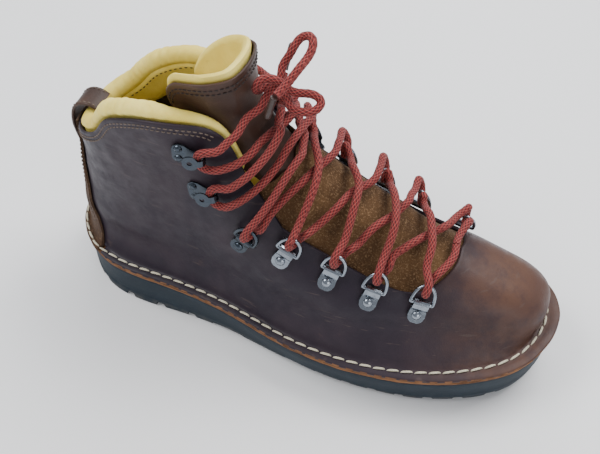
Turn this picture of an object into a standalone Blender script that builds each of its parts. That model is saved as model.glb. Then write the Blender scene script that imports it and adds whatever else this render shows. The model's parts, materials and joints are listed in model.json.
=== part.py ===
"""Right mountaineering boot, stitched-down leather, built as separate closed pieces.

Every dimension below is in millimetres; meshes are written in metres.
+X is the toe, -Y the outer (lateral) side, +Z up.
"""
import math

import bpy
import bmesh
import numpy as np

MM = 0.001

# Foot outline at the flange edge, toe first, then round each side to the heel.
LATERAL = [(152, 11), (142, -21), (118, -40), (85, -52), (50, -57), (9, -55),
           (-35, -45), (-80, -40), (-118, -36), (-141, -20), (-151, 2)]
MEDIAL = [(152, 11), (142, 34), (118, 48), (85, 55), (50, 52), (10, 39),
          (-35, 35), (-80, 40), (-118, 39), (-143, 25), (-151, 2)]
# Height of the flange top and of the tread line along the foot: (x, z).
WELT_TOP = [(-152, 34), (-60, 33), (0, 32), (60, 32), (110, 34), (154, 40)]
TREAD = [(-152, 0), (84, 0), (118, 2.5), (136, 6), (154, 11)]

# Rings of the outer leather surface, sole to collar:
# t, front (x, z), back (x, z), lateral and medial half widths, sag at mid length.
RINGS = [
    (0.12, 144, 51, -144, 46, (27, 38, 50, 33), (27, 33, 43, 30), 0),
    (0.24, 136, 62, -143, 58, (27, 37, 48, 31), (27, 32, 39, 25), 0),
    (0.36, 117, 71, -141, 70, (26, 36, 45, 28), (26, 31, 34, 21), 1),
    (0.48, 88, 82, -139, 82, (25, 35, 40, 25), (25, 31, 31, 18), 3),
    (0.60, 57, 97, -137, 94, (25, 34, 37, 24), (25, 30, 29, 18), 4),
    (0.72, 26, 113, -135, 105, (24, 33, 35, 24), (24, 30, 28, 18), 5),
    (0.84, -3, 131, -134, 116, (24, 32, 34, 24), (24, 30, 28, 18), 7),
    (1.00, -25, 156, -133, 130, (24, 33, 36, 26), (24, 31, 31, 21), 14),
    (1.20, -32, 188, -134, 148, (26, 36, 38, 27), (26, 33, 34, 24), 14),
]

# Sheet thicknesses and the depths of the layers below the outer surface.
UPPER_T = 2.0
MID_IN, MID_OUT = 4.3, 3.4
LINING_IN, LINING_OUT = 6.7, 5.5
FLANGE_T = 2.2
MIDSOLE_T = 3.6
GAP = 0.3

# Top edge of the upper on each side: place on the crease, then (t, u) of the edge.
EDGE_LATERAL = [
    (0.00, 0.475, 0.000), (0.05, 0.458, 0.060), (0.10, 0.405, 0.140), (0.15, 0.370, 0.200),
    (0.21, 0.390, 0.240), (0.28, 0.455, 0.268), (0.35, 0.520, 0.292), (0.42, 0.610, 0.320),
    (0.47, 0.700, 0.325), (0.52, 0.770, 0.288), (0.56, 0.835, 0.238), (0.60, 0.900, 0.208),
    (0.64, 0.960, 0.206), (0.67, 0.997, 0.240), (0.71, 1.014, 0.330), (0.76, 1.024, 0.440),
    (0.82, 1.016, 0.560), (0.87, 0.995, 0.650), (0.91, 0.945, 0.715), (0.95, 0.912, 0.800),
    (1.00, 0.900, 1.000)]
EDGE_MEDIAL = [
    (0.00, 0.475, 0.000), (0.05, 0.455, 0.045), (0.10, 0.410, 0.095), (0.15, 0.385, 0.130),
    (0.21, 0.395, 0.155), (0.28, 0.450, 0.172), (0.35, 0.520, 0.188), (0.42, 0.610, 0.205),
    (0.47, 0.690, 0.218), (0.52, 0.755, 0.222), (0.56, 0.805, 0.215), (0.60, 0.860, 0.205),
    (0.64, 0.915, 0.208), (0.67, 0.955, 0.240), (0.71, 0.972, 0.330), (0.76, 0.980, 0.440),
    (0.82, 0.975, 0.560), (0.87, 0.955, 0.650), (0.91, 0.925, 0.715), (0.95, 0.905, 0.800),
    (1.00, 0.900, 1.000)]

# Hardware: side (-1 lateral), rivet (t, u), ring (t, u).
RING_SPOTS = {
    "lateral_1": (-1, (0.265, 0.245), (0.365, 0.192)),
    "lateral_2": (-1, (0.325, 0.312), (0.425, 0.245)),
    "lateral_3": (-1, (0.405, 0.355), (0.485, 0.292)),
    "lateral_4": (-1, (0.475, 0.413), (0.555, 0.342)),
    "lateral_5": (-1, (0.495, 0.497), (0.585, 0.420)),
    "medial_1": (1, (0.280, 0.195), (0.370, 0.140)),
    "medial_2": (1, (0.385, 0.222), (0.465, 0.165)),
    "medial_3": (1, (0.475, 0.238), (0.555, 0.178)),
    "medial_4": (1, (0.575, 0.252), (0.655, 0.192)),
    "medial_5": (1, (0.675, 0.262), (0.755, 0.198)),
}
HOOK_SPOTS = {
    "lateral_6": (-1, (0.758, 0.430), (0.764, 0.385)),
    "lateral_7": (-1, (0.915, 0.352), (0.912, 0.305)),
    "medial_6": (1, (0.785, 0.335), (0.800, 0.285)),
    "medial_7": (1, (0.908, 0.335), (0.915, 0.285)),
}

# Lace: radius, and how far its centre line stands off the leather.
LACE_R = 2.25
WRAP_R = 4.8


# ---------------------------------------------------------------- curves and surface

def spline(points, knots, where):
    """Natural cubic through the points at the knots, read off at the places asked for."""
    p = np.asarray(points, float)
    k = np.asarray(knots, float)
    n = len(k)
    h = np.diff(k)
    a = np.eye(n)
    r = np.zeros((n,) + p.shape[1:])
    for i in range(1, n - 1):
        a[i, i - 1] = h[i - 1]
        a[i, i] = 2 * (h[i - 1] + h[i])
        a[i, i + 1] = h[i]
        r[i] = 6 * ((p[i + 1] - p[i]) / h[i] - (p[i] - p[i - 1]) / h[i - 1])
    m = np.linalg.solve(a, r.reshape(n, -1)).reshape(r.shape)
    w = np.atleast_1d(where).astype(float)
    i = np.clip(np.searchsorted(k, w) - 1, 0, n - 2)
    wide = (slice(None),) + (None,) * (p.ndim - 1)
    hi = h[i][wide]
    lo = (k[i + 1] - w)[wide] / hi
    up = (w - k[i])[wide] / hi
    bend = (lo ** 3 - lo) * m[i] + (up ** 3 - up) * m[i + 1]
    return lo * p[i] + up * p[i + 1] + bend * hi ** 2 / 6


def table(rows, where):
    """Smooth value from a table whose first column is the knot."""
    t = np.array(rows, float)
    return spline(t[:, 1:], t[:, 0], where)


def linear(rows, where):
    t = np.array(rows, float)
    return np.interp(where, t[:, 0], t[:, 1])


def by_length(curve, n):
    """The same curve as n points at even spacing."""
    step = np.linalg.norm(np.diff(curve, axis=0), axis=1)
    run = np.concatenate([[0], np.cumsum(step)])
    want = np.linspace(0, run[-1], n)
    return np.stack([np.interp(want, run, curve[:, i]) for i in range(curve.shape[1])], 1)


def by_turning(curve, n, reach=9.0, bend=0.62):
    """The same curve as n points, closer together where it bends."""
    step = np.diff(curve, axis=0)
    length = np.linalg.norm(step, axis=1)
    way = step / length[:, None]
    turn = np.arccos(np.clip((way[1:] * way[:-1]).sum(1), -1, 1))
    cost = length / reach
    cost[1:] += turn / bend
    run = np.concatenate([[0], np.cumsum(cost)])
    want = np.linspace(0, run[-1], n)
    return np.stack([np.interp(want, run, curve[:, i]) for i in range(3)], 1)


def through(points, n):
    """Smooth open curve through points, n points at even spacing."""
    p = np.asarray(points, float)
    step = np.sqrt(np.linalg.norm(np.diff(p, axis=0), axis=1))
    knots = np.concatenate([[0], np.cumsum(step)])
    fine = spline(p, knots, np.linspace(0, knots[-1], 40 * len(p)))
    return by_length(fine, n)


def outline_side(side, n=129):
    """Half the flange outline, toe to heel, at even spacing."""
    near = LATERAL if side < 0 else MEDIAL
    far = MEDIAL if side < 0 else LATERAL
    both = np.array(far[3:0:-1] + near + far[-2:-5:-1], float)
    step = np.sqrt(np.linalg.norm(np.diff(both, axis=0), axis=1))
    knots = np.concatenate([[0], np.cumsum(step)])
    fine = spline(both, knots, np.linspace(knots[3], knots[-4], 600))
    return by_length(fine, n)


def plan_normals(side, n=129):
    c = outline_side(side, n)
    d = np.gradient(c, axis=0)
    nrm = np.stack([-side * d[:, 1], side * d[:, 0]], 1)
    nrm /= np.linalg.norm(nrm, axis=1)[:, None]
    if nrm[n // 2, 1] * side < 0:
        nrm = -nrm
    nrm[0] = (1, 0)
    nrm[-1] = (-1, 0)
    return nrm


OUTLINE = {s: outline_side(s) for s in (-1, 1)}
OUTWARD = {s: plan_normals(s) for s in (-1, 1)}


def crease_side(side):
    c = OUTLINE[side]
    inset = np.interp(c[:, 0], [-150, -130, 60, 120, 153], [6.0, 6.0, 6.5, 8.5, 10.0])
    plan = c - OUTWARD[side] * inset[:, None]
    return np.column_stack([plan, table(WELT_TOP, c[:, 0])[:, 0]])


def ring_side(ring, side, n=129):
    _, xf, zf, xb, zb, lat, med, sag = ring
    w = lat if side < 0 else med
    front_y = 4 + 7 * max(0.0, min(1.0, (xf + 40) / 190.0))
    phi = np.linspace(0, math.pi, 400)
    a = 0.5 + 0.5 * np.cos(phi)
    at = np.array([0.0, 0.1, 0.35, 0.62, 0.88, 1.0])
    cap = np.sin(np.arccos(2 * at - 1)) ** 0.72
    body = [w[0] / cap[1], w[0] / cap[1], w[1] / cap[2], w[2] / cap[3], w[3] / cap[4], w[3] / cap[4]]
    half = np.sin(phi) ** 0.72 * spline(np.array(body), at, a)
    x = xb + (xf - xb) * a
    y = 3 + (front_y - 3) * a + side * half
    z = zb + (zf - zb) * a + sag * 4 * a * (1 - a)
    return by_length(np.stack([x, y, z], 1), n)


T_KNOTS = np.array([0.0] + [r[0] for r in RINGS])
CAGE = {s: np.stack([crease_side(s)] + [ring_side(r, s) for r in RINGS]) for s in (-1, 1)}


def surface(t, u):
    """Outer leather surface: t sole to collar; u is 0 at the front ridge and 1 at the
    heel seam, positive on the lateral side and negative on the medial side."""
    t = np.atleast_1d(t).astype(float)
    u = (np.atleast_1d(u).astype(float) + 1.0) % 2.0 - 1.0
    out = np.zeros((len(t), 3))
    for side, mask in ((-1, u >= 0), (1, u < 0)):
        if mask.any():
            k = np.abs(u[mask]) * 128
            i = np.clip(k.astype(int), 0, 127)
            f = (k - i)[:, None]
            rows = spline(CAGE[side], T_KNOTS, t[mask])
            j = np.arange(len(i))
            out[mask] = rows[j, i] * (1 - f) + rows[j, i + 1] * f
    return out


def normal(t, u):
    t = np.atleast_1d(t).astype(float)
    u = np.atleast_1d(u).astype(float)
    du = surface(t, u + 0.008) - surface(t, u - 0.008)
    dt = surface(t + 0.01, u) - surface(t - 0.01, u)
    nrm = np.cross(dt, du)
    return nrm / np.linalg.norm(nrm, axis=1)[:, None]


def skin(t, u, depth):
    """Point below the outer surface by the depth (negative stands proud)."""
    t, u, depth = np.broadcast_arrays(np.atleast_1d(t), u, depth)
    shape = t.shape
    p = surface(t.ravel(), u.ravel()) - normal(t.ravel(), u.ravel()) * depth.ravel()[:, None]
    return p.reshape(shape + (3,))


def sole_point(side, u0, inset):
    """Plan point at a fraction along the flange outline, moved inward."""
    c = OUTLINE[side]
    nrm = OUTWARD[side]
    k = np.clip(np.atleast_1d(u0) * 128, 0, 127.999)
    i = k.astype(int)
    f = (k - i)[:, None]
    at = c[i] * (1 - f) + c[i + 1] * f
    out = nrm[i] * (1 - f) + nrm[i + 1] * f
    return at - out * np.atleast_1d(inset)[:, None]


# ---------------------------------------------------------------- mesh helpers

def material(name, colour, rough, metal=0.0):
    mat = bpy.data.materials.new(name)
    mat.use_nodes = True
    mat.diffuse_color = (*colour, 1.0)
    shader = mat.node_tree.nodes["Principled BSDF"]
    shader.inputs["Base Color"].default_value = (*colour, 1.0)
    shader.inputs["Roughness"].default_value = rough
    shader.inputs["Metallic"].default_value = metal
    return mat


def add_mesh(name, verts, faces, mat, origin=(0, 0, 0), smooth=True):
    """Closed mesh object; vertices in millimetres, world frame."""
    org = np.array(origin, float)
    mesh = bpy.data.meshes.new(name)
    mesh.from_pydata([tuple((np.array(v) - org) * MM) for v in verts], [], faces)
    bm = bmesh.new()
    bm.from_mesh(mesh)
    bmesh.ops.remove_doubles(bm, verts=bm.verts, dist=0.000002)
    bmesh.ops.recalc_face_normals(bm, faces=bm.faces)
    if bm.calc_volume(signed=True) < 0:
        bmesh.ops.reverse_faces(bm, faces=bm.faces)
    bm.to_mesh(mesh)
    bm.free()
    obj = bpy.data.objects.new(name, mesh)
    obj.location = tuple(org * MM)
    bpy.context.scene.collection.objects.link(obj)
    if mat:
        mesh.materials.append(mat)
    if smooth:
        mesh.shade_smooth()
        mesh.set_sharp_from_angle(angle=math.radians(40))
    return obj


def loft(name, loops, mat, closed=False, origin=(0, 0, 0), smooth=True):
    """Body through closed section loops; open ends are capped with a fan."""
    loops = np.asarray(loops, float)
    n, m = loops.shape[:2]
    verts = [tuple(p) for p in loops.reshape(-1, 3)]
    faces = []
    for i in range(n if closed else n - 1):
        k = (i + 1) % n
        for j in range(m):
            q = (j + 1) % m
            faces.append((i * m + j, i * m + q, k * m + q, k * m + j))
    if not closed:
        faces.append(tuple(range(m))[::-1])
        faces.append(tuple((n - 1) * m + j for j in range(m)))
    return add_mesh(name, verts, faces, mat, origin, smooth)


def shell(name, outer, inner, mat, wrap=False, origin=(0, 0, 0)):
    """Closed sheet from two matching grids; wrap joins the first and last column."""
    outer = np.asarray(outer, float)
    inner = np.asarray(inner, float)
    loops = np.concatenate([outer, inner[:, ::-1]], axis=1)
    if wrap:
        return loft(name, loops, mat, closed=True, origin=origin)
    n, m = outer.shape[:2]
    verts = [tuple(p) for p in outer.reshape(-1, 3)] + [tuple(p) for p in inner.reshape(-1, 3)]
    far = n * m
    faces = []
    for i in range(n - 1):
        for j in range(m - 1):
            a = i * m + j
            faces.append((a, a + 1, a + m + 1, a + m))
            faces.append((far + a, far + a + m, far + a + m + 1, far + a + 1))
    for j in range(m - 1):
        faces.append((j, far + j, far + j + 1, j + 1))
        a = (n - 1) * m + j
        faces.append((a, a + 1, far + a + 1, far + a))
    for i in range(n - 1):
        a = i * m
        faces.append((a, a + m, far + a + m, far + a))
        b = i * m + m - 1
        faces.append((b, far + b, far + b + m, b + m))
    return add_mesh(name, verts, faces, mat, origin)


def tube(name, path, radius, mat, sides=8, closed=False, origin=(0, 0, 0)):
    """Round wire along a path."""
    path = np.asarray(path, float)
    if closed:
        tan = np.roll(path, -1, 0) - np.roll(path, 1, 0)
    else:
        tan = np.gradient(path, axis=0)
    tan /= np.linalg.norm(tan, axis=1)[:, None]
    side = np.cross(tan[0], (0.0, 0.0, 1.0))
    if np.linalg.norm(side) < 0.1:
        side = np.cross(tan[0], (0.0, 1.0, 0.0))
    loops = []
    for p, t in zip(path, tan):
        side = side - t * np.dot(side, t)
        side = side / np.linalg.norm(side)
        up = np.cross(t, side)
        ang = np.arange(sides) * 2 * math.pi / sides
        loops.append([p + radius * (math.cos(q) * side + math.sin(q) * up) for q in ang])
    return loft(name, loops, mat, closed=closed, origin=origin)


def plate(name, insets, u_rows, z_low, z_high, mat, across=5):
    """Flat-lying layer with the foot's outline, between two height functions of x."""
    rows = []
    for u0 in u_rows:
        lat = sole_point(-1, u0, insets)[0]
        med = sole_point(1, u0, insets)[0]
        rows.append([lat + (med - lat) * f for f in np.linspace(0, 1, across)])
    rows = np.array(rows)
    top = np.concatenate([rows, z_high(rows[..., 0])[..., None]], axis=2)
    low = np.concatenate([rows, z_low(rows[..., 0])[..., None]], axis=2)
    return shell(name, top, low, mat)


def helper(obj):
    obj.hide_render = True
    obj.hide_viewport = False
    obj.display_type = "WIRE"
    return obj


def boolean(obj, tool, operation):
    mod = obj.modifiers.new(operation.title(), "BOOLEAN")
    mod.operation = operation
    mod.solver = "EXACT"
    mod.object = helper(tool)


def welt(x):
    return table(WELT_TOP, np.asarray(x, float).ravel())[:, 0].reshape(np.shape(x))


def tread(x):
    return linear(TREAD, np.asarray(x, float))


# ---------------------------------------------------------------- sole

TREAD_TUCK = [(-152, 0.8), (-90, 1.0), (-50, 3.5), (10, 9.0), (60, 8.0), (120, 5.0), (154, 3.5)]


def build_outsole(mat):
    """Rubber tread block with lug grooves cut across the bottom and into the side."""
    top_drop = FLANGE_T + MIDSOLE_T + 2 * GAP
    rows = (1 - np.cos(np.linspace(0, math.pi, 37))) / 2
    loops = []
    for u0 in rows:
        side = []
        for s in (-1, 1):
            col = []
            for level_f, share in ((0.0, 1.0), (0.08, 0.72), (0.5, 0.3), (0.85, 0.05), (1.0, 0.1)):
                at = sole_point(s, u0, 0.0)[0]
                tuck = float(linear(TREAD_TUCK, at[0]))
                p = sole_point(s, u0, 0.4 + tuck * share)[0]
                low = float(tread(p[0]))
                high = float(welt(p[0])) - top_drop
                col.append((p[0], p[1], low + (high - low) * level_f))
            side.append(col)
        loops.append(side[0] + side[1][::-1])
    sole = loft("outsole", loops[1:-1], mat, smooth=True)
    cuts = []
    for i, (x, half, depth) in enumerate(LUG_GROOVES):
        cuts.append(groove(x, half, depth, i))
    bpy.ops.object.select_all(action="DESELECT")
    for c in cuts:
        c.select_set(True)
    bpy.context.view_layer.objects.active = cuts[0]
    bpy.ops.object.join()
    cuts[0].name = "lug_groove_cutter"
    boolean(sole, cuts[0], "DIFFERENCE")
    return sole


def groove(x, half, depth, number):
    """Trapezoid prism across the foot, one tread groove."""
    base = float(tread(x))
    prof = [(x - half - 1.2, base - 3), (x + half + 1.2, base - 3), (x + half, base + depth),
            (x - half, base + depth)]
    slant = 6.0 if x > -60 else 2.0
    loops = [[(px - slant * (y / 60.0) ** 2, y, pz) for px, pz in prof] for y in (-75, -30, 0, 30, 75)]
    return loft("groove_%d" % number, loops, None, smooth=False)


LUG_GROOVES = [(128, 2.2, 3.6), (112, 2.2, 4.0), (96, 2.2, 4.2), (80, 2.2, 4.4), (64, 2.2, 4.4),
               (48, 2.2, 4.4), (31, 2.2, 4.4), (10, 2.4, 4.0), (-34, 11.0, 3.2), (-62, 2.4, 4.4),
               (-84, 2.4, 4.4), (-106, 2.4, 4.4), (-128, 2.4, 4.0)]


def build_sole_stack(mats):
    rows = (1 - np.cos(np.linspace(0, math.pi, 29))) / 2
    rows[0], rows[-1] = 0.004, 0.996
    plate("leather_midsole", 0.0, rows, lambda x: welt(x) - FLANGE_T - GAP - MIDSOLE_T,
          lambda x: welt(x) - FLANGE_T - GAP, mats["edge_leather"])
    inner = rows * 0.94 + 0.03
    plate("insole_board", 19.5, inner, lambda x: welt(x) - 0.6, lambda x: welt(x) + 1.6,
          mats["board"])
    plate("footbed", 22.5, inner, lambda x: welt(x) + 2.0, lambda x: welt(x) + 6.5, mats["footbed"])
    xs = np.linspace(-96, 14, 13)
    half = linear([(-96, 6), (-88, 8.5), (4, 8.5), (14, 6)], xs)
    bow = 1.0
    top = [[(x, 2 + f * h, float(welt(x)) - 0.9 - bow * abs(f) * 0.1) for f in (-1, -0.5, 0, 0.5, 1)]
           for x, h in zip(xs, half)]
    low = [[(p[0], p[1], p[2] - 1.1) for p in row] for row in top]
    shell("shank", top, low, mats["steel"])


# ---------------------------------------------------------------- leather pieces

def edge_column(side, u0):
    rows = EDGE_LATERAL if side < 0 else EDGE_MEDIAL
    t, u = table(rows, u0)[0]
    return t, u


HEEL_CUT = 0.872


def upper_columns():
    side = list(np.concatenate([np.linspace(0, 0.86, 31), [HEEL_CUT, HEEL_CUT + 0.004],
                                np.linspace(0.89, 1.0, 6)]))
    return [(-1, v) for v in side] + [(1, v) for v in side[-2:0:-1]]


def foot_run(side, u0, reach, radius):
    """Flange edge, flange top and crease fillet: outer points at the bottom of a column."""
    c = sole_point(side, u0, 0.0)[0]
    inset = float(np.interp(c[0], [-150, -130, 60, 120, 153], [6.0, 6.0, 6.5, 8.5, 10.0]))
    crease = sole_point(side, u0, inset)[0]
    edge = crease + (c - crease) * reach
    unit = (c - crease) / np.linalg.norm(c - crease)
    z = float(welt(crease[0]))
    ze = float(welt(edge[0]))
    return edge, crease, unit, z, ze


WALL = np.array([0.02, 0.07, 0.15, 0.26, 0.39, 0.53, 0.68, 0.84, 1.0])


def build_upper(mat):
    """One-piece leather upper: wall, turned-out flange, throat cut-out and collar line."""
    outer, inner = [], []
    for side, u0 in upper_columns():
        on = u0 <= HEEL_CUT
        edge, crease, unit, z, ze = foot_run(side, u0, 1.0 if on else 0.03, 1.5)
        r = 1.5 if on else 0.12
        t, u = edge_column(side, u0)
        tt = WALL * t
        uu = (u0 + (u - u0) * WALL) * -side
        face = skin(tt, uu, 0.0)
        back = skin(tt, uu, UPPER_T)
        out = [(*edge, ze), (*(crease + unit * r), z), (*(crease + unit * r * 0.3), z + r * 0.35)]
        low = [(*edge, ze - FLANGE_T), (*(crease - unit * 0.2), z - FLANGE_T),
               (*(crease - unit * 1.2), z - FLANGE_T * 0.55)]
        outer.append(out + [tuple(p) for p in face])
        inner.append(low + [tuple(p) for p in back])
    return shell("upper", outer, inner, mat, wrap=True)


STRIP_EDGE = [(0.0, 0.885), (0.10, 0.912), (0.25, 0.930), (0.45, 0.935), (0.70, 0.930), (0.92, 0.925)]
STRIP_T = 0.90


def build_heel_strip(mat):
    """Rough-out back stay with its own flange, narrowing up the heel."""
    outer, inner = [], []
    for f in np.linspace(-1, 1, 13):
        side = 1 if f < 0 else -1
        u_low = 1 - (1 - 0.884) * abs(f)
        edge, crease, unit, z, ze = foot_run(side, u_low, 1.0, 1.5)
        tt = np.linspace(0.03, STRIP_T, 10)
        uu = 1 - (1 - linear(STRIP_EDGE, tt)) * abs(f)
        uu = uu * -side
        out = [(*edge, ze), (*(crease + unit * 3.6), z), (*(crease + unit * 2.6), z + 0.8)]
        low = [(*edge, ze - FLANGE_T), (*(crease + unit * 0.75), z - FLANGE_T),
               (*(crease + unit * 0.65), z)]
        outer.append(out + [tuple(p) for p in skin(tt, uu, -2.1)])
        inner.append(low + [tuple(p) for p in skin(tt, uu, -0.6)])
    return shell("heel_strip", outer, inner, mat)


def build_sheet(name, t_rows, u_fn, d_out, d_in, mat, across=13):
    """Sheet between two depths; u_fn gives the two side limits at each t."""
    outer, inner = [], []
    for f in np.linspace(0, 1, across):
        t = np.asarray(t_rows, float)
        lo, hi = u_fn(t)
        u = lo + (hi - lo) * f
        outer.append(skin(t, u, d_out))
        inner.append(skin(t, u, d_in))
    return shell(name, outer, inner, mat)


def build_stiffener(name, top, ends, mat):
    build_sheet(name, np.linspace(0.04, top, 7),
                lambda t: (np.full(len(t), ends[0]), np.full(len(t), ends[1])),
                MID_OUT, MID_IN, mat, across=33)


def build_lining(mat):
    outer, inner = [], []
    side = np.linspace(0, 1, 31)
    cols = [(-1, v) for v in side] + [(1, v) for v in side[-2:0:-1]]
    for s, u0 in cols:
        t, u = edge_column(s, u0)
        drop = float(np.interp(u0, [0.2, 0.36, 0.44, 0.66, 0.74], [0.05, 0.14, 0.26, 0.29, 0.21]))
        t = t - drop
        w = np.linspace(0.03 / t, 1, 9)
        tt = w * t
        uu = (u0 + (u - u0) * w) * -s
        outer.append(skin(tt, uu, LINING_OUT))
        inner.append(skin(tt, uu, LINING_IN))
    return shell("lining", outer, inner, mat, wrap=True)


PAD_SECTION = [(-17, 4.6), (-9, 4.0), (-1, 3.2), (0.9, 3.0), (2.6, 2.0), (4.8, 2.6), (6.6, 5.6), (6.6, 9.6),
               (4.0, 12.4), (-1.5, 13.0), (-9, 11.0), (-16, 8.6), (-19, 5.4)]
PAD_FROM = 0.56
PAD_SCALE = [(0.50, 0.28), (0.56, 0.32), (0.62, 0.40), (0.68, 0.62), (0.75, 0.90), (0.85, 1.0),
             (1.0, 0.98)]


def collar_columns():
    cols = upper_columns()
    half = len(cols) // 2 + 1
    side = [v for _, v in cols[:half] if v > PAD_FROM]
    return [(-1, v) for v in side] + [(1, v) for v in side[-2::-1]]


def build_collar(mat):
    """Padded collar roll along the upper's top edge, open at the throat."""
    cols = collar_columns()
    pts = []
    for s, u0 in cols:
        t, u = edge_column(s, u0)
        pts.append((t, u * -s))
    pts = np.array(pts)
    at = surface(pts[:, 0], pts[:, 1])
    nrm = normal(pts[:, 0], pts[:, 1])
    tan = np.gradient(at, axis=0)
    tan /= np.linalg.norm(tan, axis=1)[:, None]
    up = np.cross(tan, nrm)
    up *= np.where(up[:, 2] < 0, -1, 1)[:, None]
    up /= np.linalg.norm(up, axis=1)[:, None]
    loops = []
    for i, (s, u0) in enumerate(cols):
        k = float(linear(PAD_SCALE, u0))
        if i in (0, len(cols) - 1):
            k *= 0.8
        loops.append([at[i] + up[i] * a * k - nrm[i] * (2.6 + (d - 2.6) * k) for a, d in PAD_SECTION])
    return loft("collar_padding", loops, mat)


TONGUE_TOP = [(-0.42, 0.93), (-0.36, 1.00), (-0.28, 1.075), (-0.15, 1.15), (0.0, 1.175),
              (0.15, 1.165), (0.28, 1.135), (0.36, 1.09), (0.42, 1.0)]
TONGUE_HALF = [(0.70, 0.20), (0.80, 0.24), (0.90, 0.32), (1.0, 0.40), (1.2, 0.42)]


def tongue_depth(u, t, extra):
    """The tongue sits deeper at its wings, where it passes inside the collar."""
    wing = np.interp(np.abs(u), [0, 0.10, 0.2, 0.3, 0.42], [0.0, 0.8, 6.0, 13.5, 17.0])
    low = np.interp(t, [0.70, 0.88, 1.0], [0.25, 0.55, 1.0])
    lean = np.interp(t, [0.72, 0.85, 1.0, 1.2], [5.0, 4.6, 2.0, -3.0])
    return lean + wing * low + extra


def tongue_grid(extra, f_limit, t_extra, d_extra):
    cols = []
    for f in np.linspace(-1, 1, 19):
        top = float(table(TONGUE_TOP, f * 0.42)[0, 0]) + t_extra
        t = np.linspace(0.72, top, 11)
        u = f * linear(TONGUE_HALF, t) * f_limit
        cols.append(skin(t, u, tongue_depth(u, t, extra) + d_extra))
    return cols


def build_tongue(mats):
    shell("tongue_outer", tongue_grid(0.0, 1.0, 0, 0), tongue_grid(0.0, 1.0, 0, 1.8), mats["smooth"])
    shell("tongue_lining", tongue_grid(0.0, 0.96, 0.012, 2.8), tongue_grid(0.0, 0.96, 0.008, 7.3),
          mats["yellow"])


def throat_u(side, t):
    """Where the upper's throat edge lies at each t."""
    rows = np.array((EDGE_LATERAL if side < 0 else EDGE_MEDIAL)[3:14], float)
    fine = spline(rows[:, 1:], rows[:, 0], np.linspace(rows[0, 0], rows[-1, 0], 80))
    return np.interp(t, fine[:, 0], fine[:, 1])


COVER_LOW = [(-1, 0.42), (-0.6, 0.385), (0, 0.435), (0.5, 0.35), (0.8, 0.33), (1, 0.35)]
COVER_HIGH = [(-1, 0.765), (-0.5, 0.845), (0, 0.85), (0.4, 0.825), (0.7, 0.785), (1, 0.70)]
COVER_LATERAL = [(0.33, 0.255), (0.40, 0.285), (0.455, 0.300), (0.52, 0.325), (0.61, 0.352),
                 (0.70, 0.358), (0.76, 0.33), (0.85, 0.28)]
COVER_MEDIAL = [(0.38, 0.190), (0.45, 0.210), (0.50, 0.222), (0.60, 0.242), (0.70, 0.255),
                (0.76, 0.250), (0.85, 0.235)]


def build_cover(mat):
    """Rough suede shield filling the throat, tucked under the upper's edge."""
    outer, inner = [], []
    for f in np.linspace(-1, 1, 15):
        t = np.linspace(linear(COVER_LOW, f), linear(COVER_HIGH, f), 10)
        u = f * linear(COVER_LATERAL if f > 0 else COVER_MEDIAL, t)
        outer.append(skin(t, u, 2.5))
        inner.append(skin(t, u, 3.8))
    return shell("vamp_cover", outer, inner, mat)


def build_gussets(mat):
    for name, side in (("gusset_lateral", -1), ("gusset_medial", 1)):
        def limits(t, side=side):
            hi = throat_u(side, t) - 0.008
            lo = hi - linear([(0.62, 0.03), (0.70, 0.07), (0.78, 0.10), (0.88, 0.08)], t)
            return lo * -side, hi * -side
        build_sheet(name, np.linspace(0.66, 0.78, 7), limits, 4.2, 4.8, mat, across=5)


PULL_PATH = [(-140.2, 99), (-140.6, 107), (-140.4, 115), (-139.0, 122.5), (-135.8, 128.4),
             (-131.0, 131.4), (-126.0, 131.6), (-121.6, 129.2)]


def build_pull_loop(mat):
    """Leather loop standing off the back of the collar and folding over its top."""
    run = through([(x, 3.0, z) for x, z in PULL_PATH], 22)
    tan = np.gradient(run, axis=0)
    tan /= np.linalg.norm(tan, axis=1)[:, None]
    off = np.cross(tan, (0.0, 1.0, 0.0)) * 0.8
    half = np.interp(np.linspace(0, 1, 22), [0, 0.3, 1], [6.0, 7.5, 7.5])
    loops = []
    for p, o, h in zip(run, off, half):
        wide = np.array((0.0, h, 0.0))
        loops.append([p + o - wide, p + o, p + o + wide, p - o + wide, p - o, p - o - wide])
    return loft("pull_loop", loops, mat)


def build_thread(mat):
    """Stitch-down thread laid in the crease, one closed run."""
    pts = []
    for side, us in ((-1, np.linspace(0, 1, 45)), (1, np.linspace(1, 0, 45)[1:-1])):
        for u0 in us:
            edge, crease, unit, z, ze = foot_run(side, u0, 1.0, 1.5)
            step = 2.7 + 2.4 * float(np.interp(u0, [HEEL_CUT - 0.02, HEEL_CUT + 0.02], [0, 1]))
            p = crease + unit * step
            pts.append((p[0], p[1], float(welt(p[0])) + 1.05))
    return tube("welt_thread", pts, 0.7, mat, sides=5, closed=True)


# ---------------------------------------------------------------- metal fittings

def spot_frame(spot):
    """Frame on the leather: origin, along, across, normal; lifted clear of the surface."""
    _, (t0, u0), (t1, u1) = spot
    s = -spot[0]
    at = surface(t0, u0 * s)[0]
    to = surface(t1, u1 * s)[0]
    n = normal(t0, u0 * s)[0]
    along = to - at
    along = along - n * np.dot(along, n)
    along /= np.linalg.norm(along)
    across = np.cross(n, along)
    probe = [surface(t0 + (t1 - t0) * f + d, (u0 + (u1 - u0) * f) * s + g)[0]
             for f in (-0.5, 0.0, 0.5, 1.0) for g in (-0.02, 0.0, 0.02) for d in (-0.05, 0.0, 0.05)]
    rise = max(np.dot(p - at, n) for p in probe if np.linalg.norm(p - at) < 11)
    base = at + n * (max(rise, 0.0) + 0.7)
    return base, along, across, n


def local(frame, a, b, c):
    base, along, across, n = frame
    return base + along * a + across * b + n * c


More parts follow.
